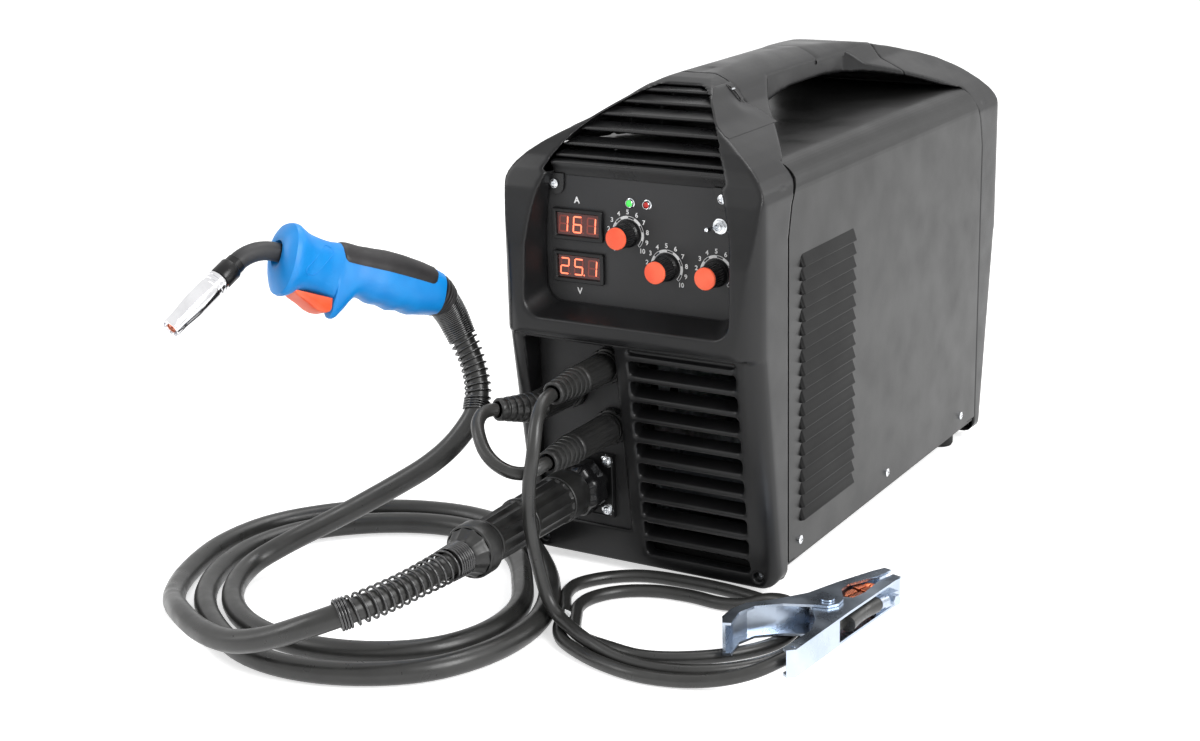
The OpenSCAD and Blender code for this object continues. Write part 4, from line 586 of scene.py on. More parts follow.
# white print of the three dials: a band with every other step hollow, and its numbers
panelSettings = {"face": -234.0, "dials": [(-10, 287), (24, 263.5), (67.4, 263.5)], "inner": 12.0,
    "outer": 14.3,
    "line": 0.42, "numbers": 17.6, "height": 3.8, "sweep": 270, "lift": 0.09,
    "units": [("A", -56, 310.2, 5.4), ("V", -55.6, 236.4, 5.4)]}


# flat part of a ring on the panel, in degrees from the top
def bandPart(shape, centre, inner, outer, start, end, finish=0):
    y = panelSettings["face"] - panelSettings["lift"]
    steps = max(1, int(abs(end - start) / 3))
    corners = []
    for i in range(steps + 1):
        a = math.radians(start + (end - start) * i / steps)
        for r in (inner, outer):
            corners.append((centre[0] + r * math.sin(a), y, centre[1] + r * math.cos(a)))
    faces = [[2 * i, 2 * i + 1, 2 * i + 3, 2 * i + 2] for i in range(steps)]
    addPart(shape, corners, faces, None, finish)


# flat figures from the built-in face, centred on a point of the panel
def figuresPart(shape, words, height, x, z, y, finish=0):
    curve = bpy.data.curves.new("figures", "FONT")
    curve.body = words
    curve.size = height * 1.36 * mm
    curve.offset = height * 0.034 * mm
    curve.align_x = "CENTER"
    holder = bpy.data.objects.new("figures", curve)
    scene.collection.objects.link(holder)
    flat = bpy.data.meshes.new_from_object(holder.evaluated_get(bpy.context.evaluated_depsgraph_get()))
    addPart(shape, [(x + v.co.x / mm, y, z - height / 2 + v.co.y / mm) for v in flat.vertices],
            [list(p.vertices) for p in flat.polygons], None, finish)
    bpy.data.objects.remove(holder)
    bpy.data.curves.remove(curve)
    bpy.data.meshes.remove(flat)


def printPanel(settings):
    shape = newShape()
    y = settings["face"] - settings["lift"]
    step = settings["sweep"] / 10
    inner, outer, line = settings["inner"], settings["outer"], settings["line"]
    for centre in settings["dials"]:
        for i in range(10):
            start = -settings["sweep"] / 2 + i * step
            if i % 2 == 0:
                bandPart(shape, centre, inner, outer, start, start + step)
                continue
            for low, high in ((inner, inner + line), (outer - line, outer)):
                bandPart(shape, centre, low, high, start, start + step)
            edge = math.degrees(line * 1.3 / outer)
            bandPart(shape, centre, inner, outer, start, start + edge)
            bandPart(shape, centre, inner, outer, start + step - edge, start + step)
        for i in range(11):
            a = math.radians(-settings["sweep"] / 2 + i * step)
            figuresPart(shape, str(i), settings["height"], centre[0] + settings["numbers"] * math.sin(a),
                        centre[1] + settings["numbers"] * math.cos(a), y)
    for words, x, z, height in settings["units"]:
        figuresPart(shape, words, height, x, z, y)
    makePiece("panel_print", shape, [whiteInk], "machine", 0)


printPanel(panelSettings)

# knobs: ribbed black body, flat orange cap, a pointer ridge at the lowest setting
knobSettings = {"ribs": 30, "ribDepth": 0.4, "pointer": 135,
    "body": [(0, 1.0), (10.3, 1.0), (10.6, 1.4), (10.5, 2.9), (9.8, 3.9), (9.4, 4.6), (9.35, 5.2), (9.3, 8),
        (9.25, 12), (9.2, 16), (9.15, 17.4), (9.0, 18.0), (8.85, 18.1)],
    "cap": [(8.8, 18.0), (8.8, 19.4), (8.65, 19.9), (8.2, 20.25), (7.0, 20.4), (0, 20.5)]}


# a turned form with grooves along it between two heights, each end of a groove rounded
def fluted(profile, steps, count, depth, low, high, power=1.0):
    corners, faces = turned(profile, steps)
    n = len(profile)
    middle, half = (low + high) / 2, (high - low) / 2
    for i in range(steps):
        wave = (0.5 + 0.5 * math.cos(count * 2 * math.pi * i / steps)) ** power
        for k in range(n):
            r, h = profile[k]
            reach = abs(h - middle) / half
            if reach >= 1 or r < 1:
                continue
            fade = math.sqrt(max(0.0, 1 - (reach * (0.82 + 0.18 * (1 - wave))) ** 10))
            x, y, z = corners[i * n + k]
            corners[i * n + k] = (x * (1 - depth * wave * fade / r), y * (1 - depth * wave * fade / r), z)
    return corners, faces


# place on the panel's side, with its z axis towards the front
def facing(x, y, z):
    return Matrix.Translation((x, y, z)) @ Matrix.Rotation(math.radians(90), 4, "X")


for (x, z), body in zip(panelSettings["dials"], ("speed", "voltage", "current")):
    shape = newShape()
    place = facing(x, panelSettings["face"], z)
    ribs = knobSettings["ribs"]
    addPart(shape, *fluted(knobSettings["body"], ribs * 6, ribs, knobSettings["ribDepth"], 4.2, 17.9),
        place)
    addPart(shape, *turned(knobSettings["cap"], 96), place, 1)
    pointer = Matrix.Rotation(math.radians(knobSettings["pointer"]), 4, "Z")
    addPart(shape, *boxed((-0.8, 8.6, 4.4), (0.8, 9.95, 17.2)), place @ pointer)
    makePiece(body + "_dial", shape, [smallAbs, knobOrange], body, 30, [body + "_knob"])

# displays: sloped frames, dark windows and three figures of seven segments each
displaySettings = {"x": -54.9, "rows": [(290.2, "161", None), (255.8, "251", 1)], "size": (46, 25),
    "figures": (-13.4, -0.6, 12.2), "height": 12.6, "width": 7.2, "lean": 0.5, "stroke": 1.25,
    "window": (38.5, 17.6), "cell": (10.4, 15.4), "dot": 0.7}
litSegments = {"1": "bc", "2": "abged", "5": "afgcd", "6": "afgedc"}


# one lit or unlit bar of a figure, with pointed ends
def segmentPart(shape, start, end, stroke, y, finish):
    (x0, z0), (x1, z1) = start, end
    length = math.hypot(x1 - x0, z1 - z0)
    dx, dz = (x1 - x0) / length * stroke / 2, (z1 - z0) / length * stroke / 2
    outline = [(x0, z0), (x0 + dx - dz, z0 + dz + dx), (x1 - dx - dz, z1 - dz + dx), (x1, z1),
               (x1 - dx + dz, z1 - dz - dx), (x0 + dx + dz, z0 + dz - dx)]
    addPart(shape, [(x, y, z) for x, z in outline], [list(range(6))], None, finish)


def buildDisplays(settings):
    shape = newShape()
    face = panelSettings["face"]
    width, height = settings["size"]
    w, h, stroke = settings["width"] / 2, settings["height"] / 2, settings["stroke"]
    lean, dotSize = settings["lean"], settings["dot"]
    for z, figures, point in settings["rows"]:
        rings = []
        for inset, out, radius in ((0, 0, 1.2), (0, 2.7, 1.2), (0.5, 3.3, 0.9), (2.6, 3.3, 0.8),
                (3.0, 3.0, 0.7), (3.75, 1.3, 0.5), (3.8, 0.6, 0.5)):
            rings.append([(settings["x"] + p, face - out, z + q)
                          for p, q in roundedOutline(width - 2 * inset, height - 2 * inset, radius, 3)])
        addPart(shape, *skinned(rings, True, False, False))
        glass = [(settings["x"] + p, face - 1.0, z + q)
                 for p, q in roundedOutline(*settings["window"], 0.5, 2)]
        addPart(shape, glass, [list(range(len(glass)))], None, 1)
        for i, figure in enumerate(figures):
            cx = settings["x"] + settings["figures"][i]
            cell = [(cx + p, face - 1.04, z + q) for p, q in roundedOutline(*settings["cell"], 0.6, 2)]
            addPart(shape, cell, [list(range(len(cell)))], None, 4)
            knots = {"tl": (cx - w + lean, z + h), "tr": (cx + w + lean, z + h), "ml": (cx - w, z),
                "mr": (cx + w, z),
                "bl": (cx - w - lean, z - h), "br": (cx + w - lean, z - h)}
            for key, a, b in (("a", "tl", "tr"), ("b", "tr", "mr"), ("c", "mr", "br"), ("d", "bl", "br"),
                              ("e", "ml", "bl"), ("f", "tl", "ml"), ("g", "ml", "mr")):
                lit = key in litSegments[figure]
                out, finish = (1.1, 3) if lit else (1.07, 2)
                segmentPart(shape, knots[a], knots[b], stroke, face - out, finish)
            dot = [(cx + w + 1.3 + dotSize * math.cos(k * math.pi / 4), face - 1.1,
                    z - h + dotSize * math.sin(k * math.pi / 4)) for k in range(8)]
            addPart(shape, dot, [list(range(8))], None, 3 if i == point else 2)
    makePiece("displays", shape, [smallAbs, smokedWindow, segmentOff, segmentRed, digitCell], "machine",
                     30, ["meters"])


buildDisplays(displaySettings)

# indicator lamps in their chromed rings, and the collar of the toggle switch
lampSettings = {"spots": [(-7, 311.8), (8, 311.8)], "toggle": (71, 300.5)}
for (x, z), lens, name in zip(lampSettings["spots"], (lampGreen, lampRed), ("ready_lamp", "heat_lamp")):
    shape = newShape()
    place = facing(x, panelSettings["face"], z)
    addPart(shape, *turned([(3.9, 0), (3.9, 0.7), (3.5, 1.0), (3.3, 1.1), (3.3, 2.6), (3.0, 3.0),
                (2.75, 2.9), (2.65, 1.6)], 48), place)
    addPart(shape, *turned([(2.64 * math.cos(math.radians(a)), 1.3 + 2.62 * math.sin(math.radians(a)))
                            for a in range(0, 91, 10)], 32), place, 1)
    makePiece(name, shape, [nickelScrew, lens], "machine", 40)
shape = newShape()
place = facing(lampSettings["toggle"][0], panelSettings["face"], lampSettings["toggle"][1])
addPart(shape, *turned([(6.2, 0.05), (6.2, 0.5), (5.9, 0.7), (3.3, 0.7)], 48), place)
hexagon = [(5.35 * math.cos(math.radians(60 * k)), 5.35 * math.sin(math.radians(60 * k))) for k in range(6)]
addPart(shape, *raised(hexagon, 0.6, 2.7), place)
addPart(shape, *turned([(3.45, 2.6), (3.45, 5.2), (3.2, 5.5), (2.6, 5.5), (2.55, 4.8)], 48), place)
roundEdges(makePiece("toggle_collar", shape, [nickelScrew], "machine", 30), 0.25, 2)
print("panel printed, knobs and displays fitted")


# cable plugs: fluted body, then a boot of stacked ridges that opens round the lead
plugSettings = {
    "plate": -232.0, "flutes": 18, "fluteDepth": 0.45, "ridges": 5,
    "earth": ((-30, 178), 52, 0, 0), "crossed": [((-67, 152.5), 56, 24, 9), ((-28, 127), 66, 0, 0)]}


def plugParts(shape, spot, length, side, lift):
    place = facing(spot[0], plugSettings["plate"], spot[1])
    collar = [(10.8, 4.1), (14.3, 4.1), (14.8, 4.6), (14.8, 7.6), (14.3, 8.2), (12.4, 8.3)]
    addPart(shape, *fluted(collar, 120, 6, 1.2, 3.9, 8.5, 14), place)
    body = [(12.2, 4.2), (12.7, 5.0), (12.75, 10.0), (12.4, 10.7), (11.6, 10.9), (11.6, 13.2), (12.3, 13.6),
            (12.75, 14.4), (12.75, 15.5)]
    body += [(12.75 - 0.5 * t, 16 + (length - 20) * t) for t in (0, 0.04, 0.08, 0.15, 0.3, 0.5, 0.7, 0.85,
            0.92, 0.96, 1)]
    body += [(12.2, length - 2.4), (11.8, length - 1), (11.2, length), (8, length + 0.4)]
    addPart(shape, *fluted(body, 144, plugSettings["flutes"], plugSettings["fluteDepth"], 16, length - 4),
        place)
    turn = place @ Matrix.Translation((0, 0, length)) @ Matrix.Rotation(math.radians(-side), 4, "Y") \
        @ Matrix.Rotation(math.radians(-lift), 4, "X")
    boot = [(9.6, -3), (11.6, -0.5)]
    ridges = plugSettings["ridges"]
    for i in range(ridges):
        low, r = 0.6 + i * 5.7, 12.5 - 0.62 * i
        boot += [(r - 1.5, low), (r - 0.5, low + 0.25), (r, low + 0.9), (r - 0.15, low + 3.0),
            (r - 0.55, low + 4.6), (r - 1.1, low + 5.0), (r - 1.6, low + 5.1)]
    boot += [(8.2, 29.6), (9.1, 30.0), (9.3, 31.0), (9.1, 34.6), (8.5, 35.6), (7.4, 36), (6.6, 35.4),
        (6.2, 32)]
    addPart(shape, *turned(boot, 64), turn)


shape = newShape()
plugParts(shape, *plugSettings["earth"])
earthPlug = makePiece("earth_lead_plug", shape, [plugRubber], "machine", 32,
    ["earth_plug"])
shape = newShape()
for plug in plugSettings["crossed"]:
    plugParts(shape, *plug)
crossedPlugs = makePiece("crossed_lead_plugs", shape, [plugRubber], "machine", 32,
    ["jumper_plugs"])

# central plug of the torch lead: collar, two fluted grips, flange with spokes; and its lobed nut
gunPlugSettings = {"spot": (-53, 75), "ribs": 14, "ribDepth": 1.9, "lobes": 8, "lobeDepth": 2.2}


def buildGunPlug(settings):
    shape = newShape()
    place = facing(settings["spot"][0], plugSettings["plate"], settings["spot"][1])
    addPart(shape, *turned([(9.8, -10), (9.8, 4.2), (14.8, 4.4), (14.8, 34)], 64), place)
    collar = [(13, 30.6), (18.6, 30.6), (19.6, 31.2), (20.2, 32.4), (20.3, 40), (20.3, 50), (20.1, 52.6),
        (19.4, 53.4)]
    addPart(shape, *turned(collar, 96), place)
    for low, high, r in ((53.5, 104, 19.3), (106.5, 154, 18.3)):
        grip = [(r, low), (r + 0.3, low + 0.6)]
        stops = (0.03, 0.06, 0.09, 0.12, 0.16, 0.22, 0.3, 0.4, 0.5, 0.6, 0.7, 0.78, 0.84, 0.88, 0.91, 0.94,
            0.97)
        grip += [(r + 0.3 - 0.9 * t, low + (high - low) * t) for t in stops]
        grip += [(r - 0.6, high - 0.6), (r - 1.2, high), (r - 3, high + 0.4)]
        addPart(shape, *fluted(grip, 280, settings["ribs"], settings["ribDepth"], low + 2, high - 2, 0.55),
            place)
    addPart(shape, *turned([(17, 103.6), (19.2, 104), (19.5, 104.6), (19.5, 106), (19.1, 106.6),
                (16, 106.9)], 96), place)
    addPart(shape, *turned([(16.4, 153), (16.4, 159), (19.2, 159.6), (20.9, 160.6), (21.4, 162),
                (21.4, 173.4), (20.9, 174.6), (19.7, 175.2)], 96), place)
    cone = [(19.75, 175.2), (19.6, 175.9), (18.4, 177.4), (16.9, 179.6), (15.2, 182.6), (14.1, 184.6),
        (13.2, 185.2), (12.6, 184.6), (12.4, 180)]
    addPart(shape, *fluted(cone, 240, 12, 1.0, 173.2, 187.5, 0.6), place)
    return makePiece("torch_lead_plug", shape, [plugRubber], "machine", 32, ["gun_plug"])


def buildLobedNut(settings):
    shape = newShape()
    place = facing(settings["spot"][0], plugSettings["plate"] - 4.3, settings["spot"][1])
    nut = [(15.1, 0.1), (19.5, 0.1), (21.6, 0.9), (22.9, 2.4), (23.6, 4.4), (23.8, 8), (23.8, 14),
        (23.6, 18), (22.8, 20.6), (21.2, 22.8), (18.8, 24.6), (16.6, 25.7), (15.5, 26), (15.15, 25.4),
        (15.1, 20)]
    addPart(shape, *fluted(nut, 216, settings["lobes"], settings["lobeDepth"], -30, 60, 0.9), place)
    makePiece("torch_lock_nut", shape, [glossAbs], "lock_nut", 40, ["gun_nut"])


gunPlug = buildGunPlug(gunPlugSettings)
buildLobedNut(gunPlugSettings)

# raised border of the socket plate, with a washer under each of its screws
borderSettings = {"size": (50, 54), "radius": 3.4, "screws": (19, 21)}
shape = newShape()
x, z = gunPlugSettings["spot"]
face = plugSettings["plate"] - 4
width, height = borderSettings["size"]
rings = [[(x + p, face - out, z + q) for p, q in roundedOutline(width - 2 * inset, height - 2 * inset,
                                                                borderSettings["radius"] - inset, 5)]
         for inset, out in ((0.5, -0.4), (0.5, 0.7), (0.9, 1.1), (1.5, 1.1), (1.9, 0.7), (1.9, -0.4))]
addPart(shape, *skinned(rings, True, False, False))
for side in (-1, 1):
    for rise in (-1, 1):
        addPart(shape, *turned([(5.6, -0.2), (5.6, 0.25), (5.2, 0.55), (3.5, 0.55)], 40),
            facing(x + side * borderSettings["screws"][0], face, z + rise * borderSettings["screws"][1]), 1)
makePiece("socket_border", shape, [smallAbs, nickelScrew], "machine", 40)
print("plugs fitted")


# torch: its handle is skinned over sections from tail to head, in millimetres of its own frame
torchSettings = {
    "place": (-174, -259, 224.5), "turn": (17.6, -22.5, -115.9), "length": 150,
    "top": [(0, 16.5), (6, 18.2), (14, 20), (30, 22), (46, 23), (60, 23), (74, 21.6), (86, 20.6),
        (96, 20.8), (106, 19.4), (112, 18.6), (120, 18.8), (128, 19.6), (134, 21), (139, 23.2), (142.5, 25),
        (145.5, 25.2), (147.5, 24.6)],
    "low": [(0, -16.5), (8, -17.8), (20, -20), (30, -22.2), (38, -20.6), (48, -22.6), (57, -20.4),
        (66, -21.4), (74, -18.8), (79, -18.9), (83.5, -21), (87.5, -26.5), (91.5, -33.5), (95.5, -39.2),
        (98.5, -41.4), (101.2, -40.6), (102.4, -37), (103, -28), (105, -26), (118, -25), (128, -25.2),
        (134, -27.4), (140, -31.4), (144, -33), (147.5, -32)],
    "side": [(0, 16), (12, 17.6), (34, 18.2), (60, 18), (76, 16.6), (88, 15.2), (100, 14.6), (112, 15.2),
        (122, 17.6), (131, 19), (138, 21.6), (143, 23), (147.5, 22.4)],
    "power": 2.5, "sectors": 72, "pad": {"from": 14, "to": 102.5, "swell": 0.9, "start": 7, "cornerTurn": 30,
                                           "corner": 6, "edge": 1.6},
    "stations": [6, 6.8, 8.5, 10.5, 13, 18, 23, 28, 33, 38, 43, 48, 53, 58, 63, 68, 73, 77, 80, 83, 85.5,
        88, 90.5, 93, 95.5, 97.5, 99.5, 101.2, 102.4, 103, 104.2, 107, 110.5, 114, 118, 122, 126, 130, 134,
        137, 140, 142.5, 144.5, 146.2, 147.5],
    "joint": [(-178.8, -269, 228.8), (-176.4, -264, 226.5), (-174.2, -256.5, 218.5), (-170.2, -251, 206.9)],
    "cheekLine": [(119.5, 12.0), (113.5, 11.2), (111.5, 8.6), (118, -1.5), (126, -12.6), (129.5, -14.4),
        (134.5, -14.0), (135.8, -11.6), (129, -2), (121.8, 10.6), (119.5, 12.0)],
    "neckRadius": 7.5, "neckCurve": 41, "neckTilt": 4, "neckBend": 58, "nozzle": 9.5, "nozzleLength": 56,
    "nozzleStart": 19.35}


# value of a table at a station, with soft steps between its rows
def along(table, x):
    for (x0, v0), (x1, v1) in zip(table, table[1:]):
        if x <= x1:
            t = max(0.0, (x - x0) / (x1 - x0))
            t = t * t * (3 - 2 * t) * 0.35 + t * 0.65
            return v0 + (v1 - v0) * t
    return table[-1][1]


# point of the handle's skin at a station, at an angle from the side upwards
def torchSkin(x, degrees, grow=0.0):
    top, low, side = (along(torchSettings[key], x) for key in ("top", "low", "side"))
    c, s = math.cos(math.radians(degrees)), math.sin(math.radians(degrees))
    e = 2 / torchSettings["power"]
    reach = top if s >= 0 else -low
    pinch = 1.0 if s >= 0 or low > -25 else 1 - 0.34 * min(1.0, (-low - 25) / 20) * abs(s) ** 1.5
    y = math.copysign(abs(c) ** e, c) * (side + grow) * pinch
    return Vector((x, y, math.copysign(abs(s) ** e, s) * (reach + grow)))


torchPlace = Matrix.Translation(torchSettings["place"]) @ Euler(
    [math.radians(a) for a in torchSettings["turn"]], "XYZ").to_matrix().to_4x4()


def buildTorchHandle(settings):
    shape = newShape()
    angles = [360 * k / settings["sectors"] for k in range(settings["sectors"])]
    rings = [[torchSkin(x, a) for a in angles] for x in settings["stations"]]
    # shield in front, domed towards the neck
    hub = Vector((settings["length"] - 1.5, 0, 0.6))
    rim = rings[-1]
    for share, bulge in ((0.95, 0.9), (0.85, 2.7), (0.7, 4.8), (0.55, 6.2), (0.44, 6.7), (0.38, 6.2)):
        rings.append([Vector((p.x + bulge - (1 - share) * 0.6, hub.y + (p.y - hub.y) * share,
                              hub.z + (p.z - hub.z) * share)) for p in rim])
    for r, step in ((8.7, 0.5), (8.1, 0.3), (7.7, -1.5)):
        rings.append([Vector((settings["length"] - 1.2 + step, r * math.cos(math.radians(a)),
                              0.3 + r * math.sin(math.radians(a)))) for a in angles])
    addPart(shape, *skinned(rings, True, True, True), torchPlace)
    makePiece("torch_handle", shape, [torchBlue], "machine", 38, ["gun_handle"])


# half width of the handle's skin at a station and a height
def sideOfSkin(x, z):
    return min((torchSkin(x, a) for a in range(-90, 91)), key=lambda p: abs(p.z - z)).y


# raised outline on each cheek
def buildCheekLines(settings):
    shape = newShape()
    for side in (-1, 1):
        path = smoothPath([(x, side * sideOfSkin(x, z), z) for x, z in settings["cheekLine"]], 4)
        addPart(shape, *piped(path, 0.42, 8), torchPlace)
    makePiece("torch_cheek_lines", shape, [torchBlue], "machine", 60)


def buildGripPad(settings):
    shape = newShape()
    pad = settings["pad"]
    rings = []
    steps, around = 44, 32
    for i in range(steps + 1):
        x = pad["from"] + (pad["to"] - pad["from"]) * i / steps
        edge = min(x - pad["from"], pad["to"] - x)
        rounding = math.sqrt(max(0.0, 1 - max(0.0, 1 - edge / pad["corner"]) ** 2))
        grow = pad["swell"] * math.sqrt(max(0.0, 1 - max(0.0, 1 - edge / pad["edge"]) ** 2))
        start = pad["start"] + pad["cornerTurn"] * (1 - rounding)
        ring = [torchSkin(x, start, -1.2)]
        for k in range(around + 1):
            a = start + (180 - 2 * start) * k / around
            lift = grow * math.sqrt(max(0.0, 1 - max(0.0, 1 - min(k, around - k) / 2.2) ** 2))
            ring.append(torchSkin(x, a, lift))
        ring.append(torchSkin(x, 180 - start, -1.2))
        rings.append(ring)
    addPart(shape, *skinned(rings, False, False, False), torchPlace)
    # ribbed joint behind the handle, bent towards the lead
    frames = framesAlong(smoothPath(settings["joint"], 12))
    for i in range(4):
        point, heading = frames[11 + 3 * i][0], frames[11 + 3 * i][3]
        r = 17.9 - 0.8 * i
        ring = [(r - 6, -0.4), (r - 1.4, -0.2), (r - 0.4, 0.25), (r, 0.9), (r - 0.1, 1.9), (r - 0.7, 2.5),
            (r - 3, 2.7), (11.5, 2.8)]
        addPart(shape, *turned(ring, 72), aimed(point, heading))
    makePiece("torch_grip", shape, [gripRubber], "machine", 40, ["gun_grip"])


# trigger: its outline from the side, and how far that draws in at each distance from the middle
triggerSettings = {"outline": [(103.6, -26.2), (137.0, -26.6), (138.0, -28.6), (134.5, -30.8), (127, -34.0),
        (119.5, -37.6), (113, -39.0), (107.5, -38.6), (104.0, -37.0), (103.2, -34.6)],
    "insets": ((-9.4, 1.0), (-8.8, 0.3), (-7.4, 0.0), (7.4, 0.0), (8.8, 0.3), (9.4, 1.0)),
    "centre": (118, -31)}


def buildTrigger(settings):
    midX, midZ = settings["centre"]
    rings = [[(x + (0.8 if x < midX else -0.8) * inset, y, z + (1.0 if z < midZ else -0.2) * inset)
              for x, z in settings["outline"]] for y, inset in settings["insets"]]
    shape = addPart(newShape(), *skinned(rings), torchPlace)
    trigger = makePiece("torch_trigger", shape, [triggerOrange], "trigger", 40,
        ["gun_trigger"])
    roundEdges(trigger, 0.7, 3, 40)


def buildNeck(settings):
    shape = newShape()
    curve, tilt, bend = settings["neckCurve"], settings["neckTilt"], settings["neckBend"]
    length = settings["length"]
    centre = (length + curve * math.sin(math.radians(tilt)), -curve * math.cos(math.radians(tilt)))
    path = [Vector((x, 0, 0)) for x in (119, 130, 140, 147)]
    for i in range(29):
        a = math.radians(90 + tilt - bend * i / 28)
        path.append(Vector((centre[0] + curve * math.cos(a), 0, centre[1] + curve * math.sin(a))))
    addPart(shape, *piped(path, settings["neckRadius"], 40), torchPlace)
    bent = Matrix.Rotation(math.radians(90 - tilt + bend), 4, "Y")
    end = torchPlace @ Matrix.Translation(path[-1]) @ bent
    tip = end @ Matrix.Translation((0, 0, settings["nozzleStart"]))
    addPart(shape, *turned([(7.4, -1.5), (7.9, -1.0), (8.1, 4.5), (9.0, 5.2), (9.3, 5.9), (9.3, 17.6),
                (9.0, 18.6), (7.5, 19.2), (5.2, 19.3), (5.0, 34), (3.2, 34.3), (3.2, 56), (2.7, 60),
                (0.7, 60.4), (0, 60.4)], 64), end, 1)
    makePiece("torch_neck", shape, [neckSleeve, insulator], "machine", 38, ["gun_neck"])
    r, l = settings["nozzle"], settings["nozzleLength"]
    shape = newShape()
    outer = [(5.4, 0), (r - 0.7, 0), (r - 0.1, 0.4), (r, 0.9), (r, 2.9), (r - 0.15, 3.3), (r - 0.75, 3.6),
        (r - 0.75, 5.0), (r - 0.1, 5.4), (r - 0.1, 6.6), (r - 0.75, 7.0), (r - 0.75, 9.6), (r - 0.1, 10.2),
        (r, 11), (r, 26), (r - 0.6, 34), (r - 1.5, 43), (r - 1.8, l - 8), (r - 1.85, l - 0.5), (r - 2.1, l),
        (r - 2.8, l), (r - 3.0, l - 0.5), (r - 3.2, 20), (5.4, 14)]
    addPart(shape, *turned(outer, 96), tip)
    addPart(shape, *turned([(3.9, 36), (3.9, 50), (3.6, 53.6), (1.2, 54.2), (1.0, 52)], 48), tip, 1)
    makePiece("torch_nozzle", shape, [polishedNozzle, bareCopper], "machine", 35,
        ["gas_nozzle"])


buildTorchHandle(torchSettings)
buildCheekLines(torchSettings)
buildGripPad(torchSettings)
buildTrigger(triggerSettings)
buildNeck(torchSettings)
print("torch built")


# copper inside the clamp: woven strap and pads, half of it on each arm, in the clamp's own frame
clampSettings = {"place": (185, -285.5, 11.3), "turn": 74, "braid": (22.5, 36), "pad": (37.5, 46.5),
                 "strand": (48, 57), "low": 7.0, "high": 21.4,
                 "boot": ((-1, -20.5, 13), (8, -17.6, 13), (18, -15.2, 13), (28, -13.6, 13), (40, -13, 13))}
clampPlace = (Matrix.Translation(clampSettings["place"])
              @ Matrix.Rotation(math.radians(clampSettings["turn"]), 4, "Z"))


def buildClampCopper(settings, side, name, body):
    shape = newShape()
    low, high = settings["low"], settings["high"]
    x0, x1 = settings["braid"]
    # woven strap that swells between the sheets
    rings = []
    for i in range(9):
        x = x0 + (x1 - x0) * i / 8
        reach = 7.6 * math.sqrt(max(0.05, 1 - ((x - 31) / 9.2) ** 2)) if x < 31 else 7.6
        ring = []
        for u, v in ((0, 0), (0.3, 0), (0.7, 0), (1, 0.1), (1, 0.9), (0.7, 1), (0.3, 1), (0, 1)):
            swell = 0.8 * math.sin(math.pi * u) * (v * 2 - 1)
            ring.append((x, side * (0.7 + (reach - 0.7) * u), low + (high - low) * v + swell))
        rings.append(ring)
    addPart(shape, *skinned(rings))
    x0, x1 = settings["pad"]
    addPart(shape, *boxed((x0, 0.7 if side > 0 else -7.2, low - 1),
            (x1, 7.2 if side > 0 else -0.7, high + 1.4)), None, 1)
    x0, x1 = settings["strand"]
    for k in range(4):
        y = side * (1.5 + 1.25 * k)
        path = smoothPath([(x0 - 1.5, y, high - 1.2), (x0 + 3, y * 0.9, high + 0.2),
                (x1, y * 0.62, high - 1.6)], 5)
        addPart(shape, *piped(path, 0.8, 10), None, 1)
    for i, corner in enumerate(shape["corners"]):
        shape["corners"][i] = clampPlace @ corner
    roundEdges(makePiece(name, shape, [copperBraid, bareCopper], body, 40), 0.5, 2, 50)


buildClampCopper(clampSettings, 1, "clamp_copper_moving", "jaw")
buildClampCopper(clampSettings, -1, "clamp_copper_fixed", "machine")
# black boot over the lead inside the fixed arm
bootPath = [clampPlace @ Vector(p) for p in clampSettings["boot"]]
bootShape = addPart(newShape(), *piped(smoothPath(bootPath, 6), 6.3, 28))
makePiece("clamp_boot", bootShape, [leadJacket], "machine", 40)
print("clamp filled")


# routes of the three leads, in millimetres, plug first
gunLead = {
    "diameter": 18,
    "relief": [(-53, -417.5, 75), (-53.3, -430, 74.9), (-55, -446, 74), (-58.5, -462, 72.5),
        (-64, -480, 70), (-70, -497, 68), (-77, -512, 66), (-87, -525, 63)],
    "run": [(-107, -536, 55), (-140, -541, 41), (-175, -540, 31), (-214, -528, 26), (-258, -503, 22),
        (-300, -466, 13), (-330, -418, 9.2), (-346, -360, 9.2), (-341, -305, 9.2), (-316, -262, 9.2),
        (-278, -228, 9.2), (-232, -209, 9.2), (-182, -205, 9.2), (-131, -222, 9.2), (-84, -262, 9.2),
        (-44, -312, 9.2), (-21, -368, 9.2), (-22, -424, 9.2), (-45, -473, 9.2), (-88, -505, 9.2),
        (-138, -519, 9.2), (-188, -514, 9.2), (-240, -487, 9.2), (-283, -449, 9.2), (-310, -401, 9.2),
        (-318, -347, 9.2), (-303, -298, 9.2), (-262, -257, 9.2), (-208, -233, 9.2), (-155, -234, 9.2),
        (-110, -262, 9.2), (-74, -306, 9.2), (-48, -352, 9.2), (-44, -400, 9.2), (-62, -442, 9.2),
        (-98, -470, 9.2), (-148, -484, 9.2), (-200, -479, 9.2), (-245, -456, 9.2), (-276, -421, 10),
        (-287, -384, 14), (-274, -359, 24), (-252, -343, 36.9), (-226.5, -330, 51.9), (-203.4, -318, 66.4),
        (-184.4, -308, 78.8), (-167.5, -299, 90.8), (-152.6, -287, 105.5), (-143.4, -276, 120.4)],
    "torchRelief": [(-138.6, -267.5, 134), (-141.3, -259.5, 146.8), (-146.4, -254, 159.3),
        (-153, -250.3, 172.5), (-159, -249, 183), (-164.9, -249, 193.8), (-170.2, -251, 206.9),
        (-174.2, -256.5, 218.5), (-176.4, -264, 226.5)],}
